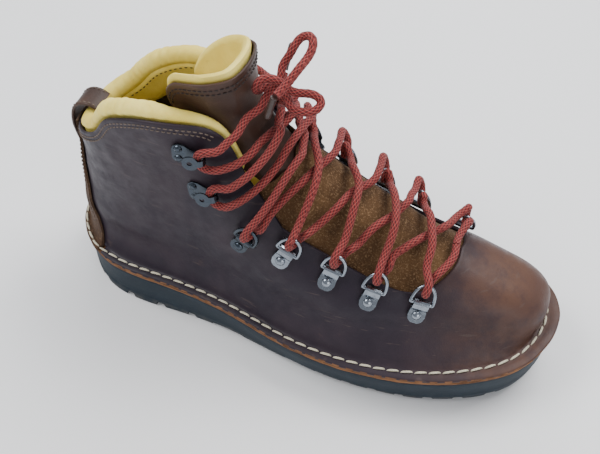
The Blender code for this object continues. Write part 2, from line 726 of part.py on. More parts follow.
def ribbon(name, frame, path, mat, origin=None):
    """Folded metal strap: path rows are (along, height, half width); thickness inward."""
    p = np.array(path, float)
    tan = np.gradient(p[:, :2], axis=0)
    tan /= np.linalg.norm(tan, axis=1)[:, None]
    loops = []
    for (a, c, w), (ta, tc) in zip(p, tan):
        na, nc = tc, -ta
        h = METAL_T / 2
        loops.append([local(frame, a + na * h, -w, c + nc * h), local(frame, a + na * h, w, c + nc * h),
                      local(frame, a - na * h, w, c - nc * h), local(frame, a - na * h, -w, c - nc * h)])
    return loft(name, loops, mat, origin=origin if origin is not None else frame[0])


METAL_T = 0.8
BAR_A, BAR_C, BAR_R = 7.8, 2.0, 1.05
FOLD_R = BAR_R + 0.35 + METAL_T / 2
RING_W, RING_H = 6.3, 11.4
RING_LIFT = 7.4


def clip_path():
    """Strap from the rivet end, round the ring bar and back over itself."""
    z0 = BAR_C - FOLD_R
    rows = [(-4.9, z0, 1.6), (-4.3, z0, 3.0), (-3.0, z0, 4.2), (-0.5, z0, 4.9), (4.0, z0, 4.6)]
    for q in np.linspace(-90, 100, 7):
        r = math.radians(q)
        rows.append((BAR_A + FOLD_R * math.cos(r), BAR_C + FOLD_R * math.sin(r), 4.4))
    z1 = z0 + METAL_T + 0.3
    rows += [(4.6, z1 + 1.3, 4.5), (3.0, z1, 4.6), (-0.5, z1, 4.9), (-3.0, z1, 4.2), (-4.3, z1, 3.0),
             (-4.9, z1, 1.6)]
    return rows


CLIP_TOP = BAR_C - FOLD_R + METAL_T * 1.5 + 0.3


def ring_frame(spot):
    """Bar centre of a ring, its reach direction, the bar direction and its upper face."""
    frame = spot_frame(spot)
    bar = local(frame, BAR_A, 0, BAR_C)
    t, u = tip_place(spot)
    reach = skin(t, u, -RING_LIFT)[0] - bar
    reach -= frame[2] * np.dot(reach, frame[2])
    reach /= np.linalg.norm(reach)
    return bar, reach, frame[2], np.cross(reach, frame[2])


def build_ring_set(label, spot, mats):
    frame = spot_frame(spot)
    dark = label.endswith("_5")
    ribbon("d_ring_clip_" + label, frame, clip_path(), mats["gunmetal" if dark else "nickel"])
    dome("clip_rivet_" + label, frame, (0, 0), CLIP_TOP + 0.1, mats["gunmetal" if dark else "nickel"])
    bar, reach, across, _ = ring_frame(spot)
    loop = []
    for q in np.linspace(0, math.pi, 12):
        loop.append((RING_W * math.cos(q), RING_H * math.sin(q) ** 0.8))
    loop += [(x, 0.0) for x in (-2.4, 2.4)]
    pts = [bar + across * x + reach * y for x, y in loop]
    tube("d_ring_" + label, pts, BAR_R, mats["gunmetal" if dark else "nickel"], sides=6, closed=True,
         origin=bar)


def dome(name, frame, at, height, mat, radius=2.7, tall=1.7):
    """Domed rivet head."""
    loops = []
    for r, c in ((radius, 0.0), (radius, 0.35), (radius * 0.86, tall * 0.66), (radius * 0.45, tall)):
        loops.append([local(frame, at[0] + r * math.cos(q), at[1] + r * math.sin(q), height + c)
                      for q in np.arange(12) * math.pi / 6])
    return loft(name, loops, mat, origin=frame[0])


HOOK_R = 3.15
HOOK_A = 6.5


def hook_path():
    rows = [(-8.0, 0.5, 3.2), (-7.0, 0.5, 5.2), (-4.5, 0.5, 6.4), (-1.5, 0.5, 5.6), (2.0, 0.5, 3.2),
            (4.5, 0.5, 2.0)]
    for q in np.linspace(-90, 90, 9):
        r = math.radians(q)
        rows.append((HOOK_A + HOOK_R * math.cos(r), 0.5 + HOOK_R + HOOK_R * math.sin(r), 2.0))
    top = 0.5 + 2 * HOOK_R
    rows += [(5.6, top, 3.4), (4.4, top, 4.3), (2.6, top, 4.7), (0.8, top, 4.3), (-0.6, top, 3.2),
             (-1.5, top, 1.6)]
    return rows


def build_hook(label, spot, mats):
    frame = spot_frame(spot)
    hook = ribbon("lace_hook_" + label, frame, hook_path(), mats["gunmetal"])
    low = [local(frame, 2.4 + 1.4 * math.cos(q), 1.4 * math.sin(q), 5.4)
           for q in np.arange(12) * math.pi / 6]
    high = [local(frame, 2.4 + 1.4 * math.cos(q), 1.4 * math.sin(q), 8.2)
            for q in np.arange(12) * math.pi / 6]
    boolean(hook, loft("hook_eye_cutter_" + label, [low, high], None), "DIFFERENCE")
    domes = [dome("hook_rivet_%s_%d" % (label, i), frame, (-4.6, b), 0.55, mats["gunmetal"], 2.3, 1.5)
             for i, b in enumerate((-3.4, 3.4))]
    for i, d in enumerate(domes):
        boolean(hook, d, "UNION")


# ---------------------------------------------------------------- lace

def ring_wrap(spot, incoming, outgoing):
    """Lace centre points round a ring's arc: under, inside, over."""
    bar, reach, across, face = ring_frame(spot)
    tip = bar + reach * RING_H
    rows = [(0.95, -0.62, incoming), (0.0, -1.0, incoming * 0.8), (-0.75, -0.65, incoming * 0.4),
            (-0.75, 0.65, outgoing * 0.4), (0.0, 1.0, outgoing * 0.8), (0.95, 0.72, outgoing)]
    return [tip + reach * a * WRAP_R + face * c * WRAP_R + across * b for a, c, b in rows]


def hook_wrap(spot, first):
    """Lace centre points behind a hook's neck; first is -1 or 1 for the entry side."""
    frame = spot_frame(spot)
    c = 0.5 + HOOK_R
    rows = [(13.8, 6.0, c + 0.6), (10.2, 6.2, c), (6.9, 4.2, c), (5.6, 0.0, c), (6.9, -4.2, c),
            (10.2, -6.2, c), (13.8, -6.0, c + 0.6)]
    return [local(frame, a, b * first, h) for a, b, h in rows]


def tip_place(spot):
    """Surface place (t, signed u) under the tip of a ring or hook."""
    side, (t0, u0), (t1, u1) = spot
    return t0 + (t1 - t0) * 1.6, (u0 + (u1 - u0) * 1.6) * -side


FIELD_T, FIELD_U = [g.ravel() for g in np.meshgrid(np.linspace(0.3, 1.2, 91),
                                                   np.linspace(-0.5, 0.5, 101), indexing="ij")]
FIELD = surface(FIELD_T, FIELD_U)


def lead_place(spot, way):
    """Surface place a strand leaves for or comes in by; a hook's two legs stay apart."""
    if spot in RING_SPOTS.values():
        return tip_place(spot)
    at = local(spot_frame(spot), 21.0, 4.5 * way * spot[0], 0.0)
    k = int(np.argmin(((FIELD - at) ** 2).sum(1)))
    return FIELD_T[k], FIELD_U[k]


def strand(start, end, lift):
    """Middle points of a strand between two surface places, held off the leather."""
    (t0, u0), (t1, u1) = start, end
    a, b = surface(t0, u0)[0], surface(t1, u1)[0]
    crest = normal((t0 + t1) / 2, 0.0)[0]
    out = []
    for f in (0.14, 0.32, 0.5, 0.68, 0.86):
        p = a + (b - a) * f
        w = 4 * f * (1 - f)
        ray = crest * w + (normal(t0, u0)[0] * (1 - f) + normal(t1, u1)[0] * f) * (1 - w)
        ray /= np.linalg.norm(ray)
        off = FIELD - p
        along = off @ ray
        miss = np.linalg.norm(off - along[:, None] * ray, axis=1) + np.where(along < -6, 99, 0)
        k = int(np.argmin(miss))
        h = np.interp(f, (0.2, 0.5, 0.8), lift)
        out.append(skin(FIELD_T[k], FIELD_U[k], -h)[0])
    return out


# Bow, world millimetres: each half from where it reaches the knot to its tip.
BOW_NEAR = [(-27, -8, 163), (-22, -3, 169), (-19, 4, 173), (-16, 11, 179), (-13, 18, 186), (-9, 23, 191),
            (-4, 21, 192), (-3, 14, 188), (-7, 6, 183), (-10, 0, 179), (-14, -5, 175.5), (-19, -9, 170),
            (-17, -9, 162), (-10, -5, 156)]
BOW_FAR = [(-14, 12, 152), (-18, 8, 160), (-20, 4, 166.5), (-22, -1, 172), (-19.5, -3, 178),
           (-16, 0, 180), (-9, 0, 176), (-1, 3, 173), (5, 5, 171), (7, 2, 168), (2, -3, 167), (-7, -3, 167),
           (-13, 2, 167), (-19, 11, 168), (-18, 19, 175), (-16, 27, 183), (-12, 34, 190)]


LACE_ORDER = {
    "near": ["lateral_1", "medial_2", "lateral_3", "medial_4", "lateral_5", "medial_6", "lateral_7"],
    "far": ["medial_1", "lateral_2", "medial_3", "lateral_4", "medial_5", "lateral_6", "medial_7"],
}
OVER = (8.6, 8.4, 4.4)
UNDER = (7.8, 3.4, 4.4)
TOP = (7.8, 6.6, 5.8)
LIFTS = {
    "near": [OVER, UNDER, OVER, UNDER, OVER, TOP],
    "far": [UNDER, OVER, UNDER, OVER, TOP, OVER],
}
MIDDLE = (86.0, 4.0, 88.0)


def lace_route(half):
    """Lace centre line from the middle of the toe bar to the end of the bow."""
    order = LACE_ORDER[half]
    sign = 1 if half == "near" else -1
    start = np.array(MIDDLE)
    pts = [start + np.array((0.0, -0.3 * sign, 0.0)), start + np.array((0.0, -9.0 * sign, -1.0))]
    spots = [RING_SPOTS[n] if n in RING_SPOTS else HOOK_SPOTS[n] for n in order]
    for i, (name, spot) in enumerate(zip(order, spots)):
        if name in RING_SPOTS:
            turn = (-1 if i else -0.6) * (1 if spot[0] < 0 else -1) * 2.5
            pts += ring_wrap(spot, turn, -turn)
        else:
            pts += hook_wrap(spot, spot[0])
        if i < len(order) - 1:
            pts += strand(lead_place(spot, -1), lead_place(spots[i + 1], 1), LIFTS[half][i])
    bow = BOW_NEAR if half == "near" else BOW_FAR
    return pts + [np.array(p, float) for p in bow]


def clear_height(pts):
    """Push that brings lace points up to a lace's height off the leather and tongue."""
    place = [int(np.argmin(((FIELD - p) ** 2).sum(1))) for p in pts]
    out = normal(FIELD_T[place], FIELD_U[place])
    height = ((pts - FIELD[place]) * out).sum(1)
    need = 2.7 + np.maximum(0, FIELD_T[place] - 1.04) * 26
    return out * np.maximum(0, need - height)[:, None]


def apart(runs, space):
    """Ease two runs until no stretches lie closer than a space or in the leather."""
    pts = np.vstack(runs)
    n = len(runs[0])
    arc = np.arange(len(pts)) * np.linalg.norm(pts[1] - pts[0])
    arc[n:] = arc[n] - arc[n:]
    far = np.abs(arc[:, None] - arc[None]) > 14
    for turn in range(72):
        if turn % 12 == 8:
            move = clear_height(pts)
        else:
            gap = pts[:, None] - pts[None]
            dist = np.linalg.norm(gap, axis=2) + 1e-6
            short = np.where(far & (dist < space), space - dist, 0)
            k = short.argmax(1)
            row = np.arange(len(pts))
            move = gap[row, k] * (0.3 * short[row, k] / dist[row, k])[:, None]
        for half in (slice(0, n), slice(n, None)):
            pad = np.pad(move[half], ((6, 6), (0, 0)), mode="edge")
            ease = np.stack([np.convolve(pad[:, i], np.ones(13) / 7, "valid") for i in range(3)], 1)
            pts[half] += ease * np.minimum(1, np.arange(n)[:, None] / 12.0)
    return pts[:n], pts[n:]


def lace_runs():
    runs = [through(lace_route(half), 420) for half in ("near", "far")]
    return apart(runs, 6.25)


def build_lace(mats):
    for half, run in zip(("near", "far"), lace_runs()):
        cord = by_turning(run[:-14], 84)
        curve("lace_%s_half" % half, cord, LACE_R, mats["lace"])
        tip = run[-12:]
        tube("aglet_%s" % half, tip[::4], 1.7, mats["aglet"], sides=8)


def curve(name, path, radius, mat):
    data = bpy.data.curves.new(name, "CURVE")
    data.dimensions = "3D"
    data.bevel_depth = radius * MM
    data.bevel_resolution = 2
    data.use_fill_caps = True
    line = data.splines.new("POLY")
    line.points.add(len(path) - 1)
    for point, p in zip(line.points, path):
        point.co = (p[0] * MM, p[1] * MM, p[2] * MM, 1.0)
    data.materials.append(mat)
    obj = bpy.data.objects.new(name, data)
    bpy.context.scene.collection.objects.link(obj)
    return obj


def make_materials():
    return {
        "rubber": material("outsole_rubber", (0.035, 0.05, 0.065), 0.75),
        "edge_leather": material("edge_leather", (0.45, 0.22, 0.10), 0.7),
        "board": material("insole_board_fibre", (0.32, 0.22, 0.13), 0.9),
        "footbed": material("footbed_foam", (0.10, 0.10, 0.11), 0.9),
        "steel": material("shank_steel", (0.55, 0.56, 0.58), 0.4, 1.0),
        "upper": material("upper_leather", (0.085, 0.050, 0.048), 0.5),
        "smooth": material("tongue_leather", (0.11, 0.055, 0.04), 0.5),
        "rough": material("rough_out_leather", (0.17, 0.10, 0.05), 0.95),
        "suede": material("suede", (0.20, 0.13, 0.07), 0.95),
        "yellow": material("yellow_leather", (0.80, 0.62, 0.24), 0.6),
        "stiffener": material("stiffener_board", (0.45, 0.38, 0.28), 0.9),
        "thread": material("welt_thread_cotton", (0.78, 0.75, 0.66), 0.9),
        "nickel": material("bright_nickel", (0.66, 0.67, 0.69), 0.25, 1.0),
        "gunmetal": material("gunmetal", (0.16, 0.18, 0.20), 0.35, 1.0),
        "lace": material("lace_braid", (0.38, 0.06, 0.05), 0.8),
        "aglet": material("aglet_plastic", (0.05, 0.03, 0.03), 0.4),
    }


def main():
    for obj in list(bpy.data.objects):
        bpy.data.objects.remove(obj)
    mats = make_materials()
    build_outsole(mats["rubber"])
    build_sole_stack(mats)
    build_upper(mats["upper"])
    build_heel_strip(mats["rough"])
    build_stiffener("toe_puff", 0.30, (-0.24, 0.24), mats["stiffener"])
    build_stiffener("heel_counter", 0.45, (0.64, 1.36), mats["stiffener"])
    build_lining(mats["yellow"])
    build_collar(mats["yellow"])
    build_tongue(mats)
    build_cover(mats["suede"])
    build_gussets(mats["yellow"])
    build_pull_loop(mats["rough"])
    build_thread(mats["thread"])
    for label, spot in RING_SPOTS.items():
        build_ring_set(label, spot, mats)
    for label, spot in HOOK_SPOTS.items():
        build_hook(label, spot, mats)
    build_lace(mats)


main()
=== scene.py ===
"""Looks of a right mountaineering boot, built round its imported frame.

Shapes are worked out in millimetres from the same driving tables as the frame and
written in metres. +X is the toe, -Y the outer (lateral) side, +Z up.
"""
import json
import math

import bmesh
import bpy
import numpy as np
from mathutils import Matrix, Vector, noise

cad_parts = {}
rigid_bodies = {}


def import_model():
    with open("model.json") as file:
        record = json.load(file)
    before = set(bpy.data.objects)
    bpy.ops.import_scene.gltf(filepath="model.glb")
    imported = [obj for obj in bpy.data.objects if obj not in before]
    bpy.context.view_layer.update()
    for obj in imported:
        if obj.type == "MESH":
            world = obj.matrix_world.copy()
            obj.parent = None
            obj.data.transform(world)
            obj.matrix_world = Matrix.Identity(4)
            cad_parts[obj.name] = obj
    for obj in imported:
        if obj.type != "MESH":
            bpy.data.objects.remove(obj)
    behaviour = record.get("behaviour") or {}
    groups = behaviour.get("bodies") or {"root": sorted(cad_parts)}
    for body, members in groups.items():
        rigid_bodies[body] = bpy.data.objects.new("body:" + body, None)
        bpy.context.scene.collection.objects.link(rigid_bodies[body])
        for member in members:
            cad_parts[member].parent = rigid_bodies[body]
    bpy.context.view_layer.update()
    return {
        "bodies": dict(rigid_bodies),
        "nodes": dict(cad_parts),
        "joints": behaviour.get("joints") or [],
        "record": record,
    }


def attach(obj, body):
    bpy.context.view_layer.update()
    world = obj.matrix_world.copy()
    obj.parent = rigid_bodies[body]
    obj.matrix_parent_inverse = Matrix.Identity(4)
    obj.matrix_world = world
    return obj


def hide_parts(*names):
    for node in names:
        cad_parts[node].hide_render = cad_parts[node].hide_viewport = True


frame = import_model()

# A fixed seed: without one, noise_vector takes its offsets from the clock.
noise.seed_set(5)

MM = 0.001

# Foot outline at the flange edge, toe first, then round each side to the heel.
LATERAL = [(152, 11), (142, -21), (118, -40), (85, -52), (50, -57), (9, -55),
           (-35, -45), (-80, -40), (-118, -36), (-141, -20), (-151, 2)]
MEDIAL = [(152, 11), (142, 34), (118, 48), (85, 55), (50, 52), (10, 39),
          (-35, 35), (-80, 40), (-118, 39), (-143, 25), (-151, 2)]
# Height of the flange top and of the tread line along the foot: (x, z).
WELT_TOP = [(-152, 34), (-60, 33), (0, 32), (60, 32), (110, 34), (154, 40)]
TREAD = [(-152, 0), (84, 0), (118, 2.5), (136, 6), (154, 11)]

# Rings of the outer leather surface, sole to collar:
# t, front (x, z), back (x, z), lateral and medial half widths, sag at mid length.
RINGS = [
    (0.12, 144, 51, -144, 46, (27, 38, 50, 33), (27, 33, 43, 30), 0),
    (0.24, 136, 62, -143, 58, (27, 37, 48, 31), (27, 32, 39, 25), 0),
    (0.36, 117, 71, -141, 70, (26, 36, 45, 28), (26, 31, 34, 21), 1),
    (0.48, 88, 82, -139, 82, (25, 35, 40, 25), (25, 31, 31, 18), 3),
    (0.60, 57, 97, -137, 94, (25, 34, 37, 24), (25, 30, 29, 18), 4),
    (0.72, 26, 113, -135, 105, (24, 33, 35, 24), (24, 30, 28, 18), 5),
    (0.84, -3, 131, -134, 116, (24, 32, 34, 24), (24, 30, 28, 18), 7),
    (1.00, -25, 156, -133, 130, (24, 33, 36, 26), (24, 31, 31, 21), 14),
    (1.20, -32, 188, -134, 148, (26, 36, 38, 27), (26, 33, 34, 24), 14),
]

# Sheet thicknesses and the gap between layers.
UPPER_T = 2.0
FLANGE_T = 2.2
MIDSOLE_T = 3.6
GAP = 0.3

# Top edge of the upper on each side: place on the crease, then (t, u) of the edge.
EDGE_LATERAL = [
    (0.00, 0.475, 0.000), (0.05, 0.458, 0.060), (0.10, 0.405, 0.140), (0.15, 0.370, 0.200),
    (0.21, 0.390, 0.240), (0.28, 0.455, 0.268), (0.35, 0.520, 0.292), (0.42, 0.610, 0.320),
    (0.47, 0.700, 0.325), (0.52, 0.770, 0.288), (0.56, 0.835, 0.238), (0.60, 0.900, 0.208),
    (0.64, 0.960, 0.206), (0.67, 0.997, 0.240), (0.71, 1.014, 0.330), (0.76, 1.024, 0.440),
    (0.82, 1.016, 0.560), (0.87, 0.995, 0.650), (0.91, 0.945, 0.715), (0.95, 0.912, 0.800),
    (1.00, 0.900, 1.000)]
EDGE_MEDIAL = [
    (0.00, 0.475, 0.000), (0.05, 0.455, 0.045), (0.10, 0.410, 0.095), (0.15, 0.385, 0.130),
    (0.21, 0.395, 0.155), (0.28, 0.450, 0.172), (0.35, 0.520, 0.188), (0.42, 0.610, 0.205),
    (0.47, 0.690, 0.218), (0.52, 0.755, 0.222), (0.56, 0.805, 0.215), (0.60, 0.860, 0.205),
    (0.64, 0.915, 0.208), (0.67, 0.955, 0.240), (0.71, 0.972, 0.330), (0.76, 0.980, 0.440),
    (0.82, 0.975, 0.560), (0.87, 0.955, 0.650), (0.91, 0.925, 0.715), (0.95, 0.905, 0.800),
    (1.00, 0.900, 1.000)]

# Hardware: side (-1 lateral), rivet (t, u), ring (t, u).
RING_SPOTS = {
    "lateral_1": (-1, (0.265, 0.245), (0.365, 0.192)),
    "lateral_2": (-1, (0.325, 0.312), (0.425, 0.245)),
    "lateral_3": (-1, (0.405, 0.355), (0.485, 0.292)),
    "lateral_4": (-1, (0.475, 0.413), (0.555, 0.342)),
    "lateral_5": (-1, (0.495, 0.497), (0.585, 0.420)),
    "medial_1": (1, (0.280, 0.195), (0.370, 0.140)),
    "medial_2": (1, (0.385, 0.222), (0.465, 0.165)),
    "medial_3": (1, (0.475, 0.238), (0.555, 0.178)),
    "medial_4": (1, (0.575, 0.252), (0.655, 0.192)),
    "medial_5": (1, (0.675, 0.262), (0.755, 0.198)),
}
HOOK_SPOTS = {
    "lateral_6": (-1, (0.758, 0.430), (0.764, 0.385)),
    "lateral_7": (-1, (0.915, 0.352), (0.912, 0.305)),
    "medial_6": (1, (0.785, 0.335), (0.800, 0.285)),
    "medial_7": (1, (0.908, 0.335), (0.915, 0.285)),
}

# Lace: radius, and how far its centre line stands off the ring it wraps.
LACE_R = 2.25
WRAP_R = 4.8


# ---------------------------------------------------------------- curves and surface

def spline(points, knots, where):
    """Natural cubic through the points at the knots, read off at the places asked for."""
    p = np.asarray(points, float)
    k = np.asarray(knots, float)
    n = len(k)
    h = np.diff(k)
    a = np.eye(n)
    r = np.zeros((n,) + p.shape[1:])
    for i in range(1, n - 1):
        a[i, i - 1] = h[i - 1]
        a[i, i] = 2 * (h[i - 1] + h[i])
        a[i, i + 1] = h[i]
        r[i] = 6 * ((p[i + 1] - p[i]) / h[i] - (p[i] - p[i - 1]) / h[i - 1])
    m = np.linalg.solve(a, r.reshape(n, -1)).reshape(r.shape)
    w = np.atleast_1d(where).astype(float)
    i = np.clip(np.searchsorted(k, w) - 1, 0, n - 2)
    wide = (slice(None),) + (None,) * (p.ndim - 1)
    hi = h[i][wide]
    lo = (k[i + 1] - w)[wide] / hi
    up = (w - k[i])[wide] / hi
    bend = (lo ** 3 - lo) * m[i] + (up ** 3 - up) * m[i + 1]
    return lo * p[i] + up * p[i + 1] + bend * hi ** 2 / 6


def table(rows, where):
    """Smooth value from a table whose first column is the knot."""
    t = np.array(rows, float)
    return spline(t[:, 1:], t[:, 0], where)


def linear(rows, where):
    t = np.array(rows, float)
    return np.interp(where, t[:, 0], t[:, 1])


def by_length(curve, n):
    """The same curve as n points at even spacing."""
    step = np.linalg.norm(np.diff(curve, axis=0), axis=1)
    run = np.concatenate([[0], np.cumsum(step)])
    want = np.linspace(0, run[-1], n)
    return np.stack([np.interp(want, run, curve[:, i]) for i in range(curve.shape[1])], 1)


def through(points, n):
    """Smooth open curve through points, n points at even spacing."""
    p = np.asarray(points, float)
    step = np.sqrt(np.linalg.norm(np.diff(p, axis=0), axis=1))
    knots = np.concatenate([[0], np.cumsum(step)])
    fine = spline(p, knots, np.linspace(0, knots[-1], 40 * len(p)))
    return by_length(fine, n)


def outline_side(side, n=129):
    """Half the flange outline, toe to heel, at even spacing."""
    near = LATERAL if side < 0 else MEDIAL
    far = MEDIAL if side < 0 else LATERAL
    both = np.array(far[3:0:-1] + near + far[-2:-5:-1], float)
    step = np.sqrt(np.linalg.norm(np.diff(both, axis=0), axis=1))
    knots = np.concatenate([[0], np.cumsum(step)])
    fine = spline(both, knots, np.linspace(knots[3], knots[-4], 600))
    return by_length(fine, n)


def plan_normals(side, n=129):
    c = outline_side(side, n)
    d = np.gradient(c, axis=0)
    nrm = np.stack([-side * d[:, 1], side * d[:, 0]], 1)
    nrm /= np.linalg.norm(nrm, axis=1)[:, None]
    if nrm[n // 2, 1] * side < 0:
        nrm = -nrm
    nrm[0] = (1, 0)
    nrm[-1] = (-1, 0)
    return nrm


OUTLINE = {s: outline_side(s) for s in (-1, 1)}
OUTWARD = {s: plan_normals(s) for s in (-1, 1)}


def crease_inset(x):
    """How far the crease lies inside the flange edge."""
    return np.interp(x, [-150, -130, 60, 120, 153], [6.0, 6.0, 6.5, 8.5, 10.0])


def crease_side(side):
    c = OUTLINE[side]
    inset = crease_inset(c[:, 0])
    plan = c - OUTWARD[side] * inset[:, None]
    return np.column_stack([plan, table(WELT_TOP, c[:, 0])[:, 0]])


def ring_side(ring, side, n=129):
    _, xf, zf, xb, zb, lat, med, sag = ring
    w = lat if side < 0 else med
    front_y = 4 + 7 * max(0.0, min(1.0, (xf + 40) / 190.0))
    phi = np.linspace(0, math.pi, 400)
    a = 0.5 + 0.5 * np.cos(phi)
    at = np.array([0.0, 0.1, 0.35, 0.62, 0.88, 1.0])
    cap = np.sin(np.arccos(2 * at - 1)) ** 0.72
    body = [w[0] / cap[1], w[0] / cap[1], w[1] / cap[2], w[2] / cap[3], w[3] / cap[4], w[3] / cap[4]]
    half = np.sin(phi) ** 0.72 * spline(np.array(body), at, a)
    x = xb + (xf - xb) * a
    y = 3 + (front_y - 3) * a + side * half
    z = zb + (zf - zb) * a + sag * 4 * a * (1 - a)
    return by_length(np.stack([x, y, z], 1), n)


T_KNOTS = np.array([0.0] + [r[0] for r in RINGS])
CAGE = {s: np.stack([crease_side(s)] + [ring_side(r, s) for r in RINGS]) for s in (-1, 1)}


def surface(t, u):
    """Outer leather surface: t sole to collar; u is 0 at the front ridge and 1 at the
    heel seam, positive on the lateral side and negative on the medial side."""
    t = np.atleast_1d(t).astype(float)
    u = (np.atleast_1d(u).astype(float) + 1.0) % 2.0 - 1.0
    out = np.zeros((len(t), 3))
    for side, mask in ((-1, u >= 0), (1, u < 0)):
        if mask.any():
            k = np.abs(u[mask]) * 128
            i = np.clip(k.astype(int), 0, 127)
            f = (k - i)[:, None]
            rows = spline(CAGE[side], T_KNOTS, t[mask])
            j = np.arange(len(i))
            out[mask] = rows[j, i] * (1 - f) + rows[j, i + 1] * f
    return out


def normal(t, u):
    t = np.atleast_1d(t).astype(float)
    u = np.atleast_1d(u).astype(float)
    du = surface(t, u + 0.008) - surface(t, u - 0.008)
    dt = surface(t + 0.01, u) - surface(t - 0.01, u)
    nrm = np.cross(dt, du)
    return nrm / np.linalg.norm(nrm, axis=1)[:, None]


def skin(t, u, depth):
    """Point below the outer surface by the depth (negative stands proud)."""
    t, u, depth = np.broadcast_arrays(np.atleast_1d(t), u, depth)
    shape = t.shape
    p = surface(t.ravel(), u.ravel()) - normal(t.ravel(), u.ravel()) * depth.ravel()[:, None]
    return p.reshape(shape + (3,))


def sole_point(side, u0, inset):
    """Plan point at a fraction along the flange outline, moved inward."""
    c = OUTLINE[side]
    nrm = OUTWARD[side]
    k = np.clip(np.atleast_1d(u0) * 128, 0, 127.999)
    i = k.astype(int)
    f = (k - i)[:, None]
    at = c[i] * (1 - f) + c[i + 1] * f
    out = nrm[i] * (1 - f) + nrm[i + 1] * f
    return at - out * np.atleast_1d(inset)[:, None]


def welt(x):
    return table(WELT_TOP, np.asarray(x, float).ravel())[:, 0].reshape(np.shape(x))


def tread(x):
    return linear(TREAD, np.asarray(x, float))


TREAD_TUCK = [(-152, 0.8), (-90, 1.0), (-50, 3.5), (10, 9.0), (60, 8.0), (120, 5.0), (154, 3.5)]

LUG_GROOVES = [(128, 2.2, 3.6), (112, 2.2, 4.0), (96, 2.2, 4.2), (80, 2.2, 4.4), (64, 2.2, 4.4),
               (48, 2.2, 4.4), (31, 2.2, 4.4), (10, 2.4, 4.0), (-34, 11.0, 3.2), (-62, 2.4, 4.4),
               (-84, 2.4, 4.4), (-106, 2.4, 4.4), (-128, 2.4, 4.0)]


def edge_column(side, u0):
    rows = EDGE_LATERAL if side < 0 else EDGE_MEDIAL
    t, u = table(rows, u0)[0]
    return t, u


HEEL_CUT = 0.872


def foot_run(side, u0, reach):
    """Flange edge, flange top and crease fillet: outer points at the bottom of a column."""
    c = sole_point(side, u0, 0.0)[0]
    inset = float(crease_inset(c[0]))
    crease = sole_point(side, u0, inset)[0]
    edge = crease + (c - crease) * reach
    unit = (c - crease) / np.linalg.norm(c - crease)
    z = float(welt(crease[0]))
    ze = float(welt(edge[0]))
    return edge, crease, unit, z, ze


STRIP_EDGE = [(0.0, 0.885), (0.10, 0.912), (0.25, 0.930), (0.45, 0.935), (0.70, 0.930), (0.92, 0.925)]
STRIP_T = 0.90


PAD_SECTION = [(-17, 4.6), (-9, 4.0), (-1, 3.2), (0.9, 3.0), (2.6, 2.0), (4.8, 2.6), (6.6, 5.6), (6.6, 9.6),
               (4.0, 12.4), (-1.5, 13.0), (-9, 11.0), (-16, 8.6), (-19, 5.4)]
PAD_FROM = 0.56
PAD_SCALE = [(0.50, 0.28), (0.56, 0.32), (0.62, 0.40), (0.68, 0.62), (0.75, 0.90), (0.85, 1.0),
             (1.0, 0.98)]

TONGUE_TOP = [(-0.42, 0.93), (-0.36, 1.00), (-0.28, 1.075), (-0.15, 1.15), (0.0, 1.175),
              (0.15, 1.165), (0.28, 1.135), (0.36, 1.09), (0.42, 1.0)]
TONGUE_HALF = [(0.70, 0.20), (0.80, 0.24), (0.90, 0.32), (1.0, 0.40), (1.2, 0.42)]


def tongue_depth(u, t, extra):
    """The tongue sits deeper at its wings, where it passes inside the collar."""
    wing = np.interp(np.abs(u), [0, 0.10, 0.2, 0.3, 0.42], [0.0, 0.8, 6.0, 13.5, 17.0])
    low = np.interp(t, [0.70, 0.88, 1.0], [0.25, 0.55, 1.0])
    lean = np.interp(t, [0.72, 0.85, 1.0, 1.2], [5.0, 4.6, 2.0, -3.0])
    return lean + wing * low + extra


def throat_u(side, t):
    """Where the upper's throat edge lies at each t."""
    rows = np.array((EDGE_LATERAL if side < 0 else EDGE_MEDIAL)[3:14], float)
    fine = spline(rows[:, 1:], rows[:, 0], np.linspace(rows[0, 0], rows[-1, 0], 80))
    return np.interp(t, fine[:, 0], fine[:, 1])


COVER_LOW = [(-1, 0.42), (-0.6, 0.385), (0, 0.435), (0.5, 0.35), (0.8, 0.33), (1, 0.35)]
COVER_HIGH = [(-1, 0.765), (-0.5, 0.845), (0, 0.85), (0.4, 0.825), (0.7, 0.785), (1, 0.70)]
COVER_LATERAL = [(0.33, 0.255), (0.40, 0.285), (0.455, 0.300), (0.52, 0.325), (0.61, 0.352),
                 (0.70, 0.358), (0.76, 0.33), (0.85, 0.28)]
COVER_MEDIAL = [(0.38, 0.190), (0.45, 0.210), (0.50, 0.222), (0.60, 0.242), (0.70, 0.255),
                (0.76, 0.250), (0.85, 0.235)]

PULL_PATH = [(-140.2, 99), (-140.6, 107), (-140.4, 115), (-139.0, 122.5), (-135.8, 128.4),
             (-131.0, 131.4), (-126.0, 131.6), (-121.6, 129.2)]


def spot_frame(spot):
    """Frame on the leather: origin, along, across, normal; lifted clear of the surface."""
    _, (t0, u0), (t1, u1) = spot
    s = -spot[0]
    at = surface(t0, u0 * s)[0]
    to = surface(t1, u1 * s)[0]
    n = normal(t0, u0 * s)[0]
    along = to - at
    along = along - n * np.dot(along, n)
    along /= np.linalg.norm(along)
    across = np.cross(n, along)
    probe = [surface(t0 + (t1 - t0) * f + d, (u0 + (u1 - u0) * f) * s + g)[0]
             for f in (-0.5, 0.0, 0.5, 1.0) for g in (-0.02, 0.0, 0.02) for d in (-0.05, 0.0, 0.05)]
    rise = max(np.dot(p - at, n) for p in probe if np.linalg.norm(p - at) < 11)
    base = at + n * (max(rise, 0.0) + 0.7)
    return base, along, across, n


def local(frame, a, b, c):
    base, along, across, n = frame
    return base + along * a + across * b + n * c


METAL_T = 0.8
BAR_A, BAR_C, BAR_R = 7.8, 2.0, 1.05
FOLD_R = BAR_R + 0.35 + METAL_T / 2
RING_W, RING_H = 6.3, 11.4
RING_LIFT = 7.4


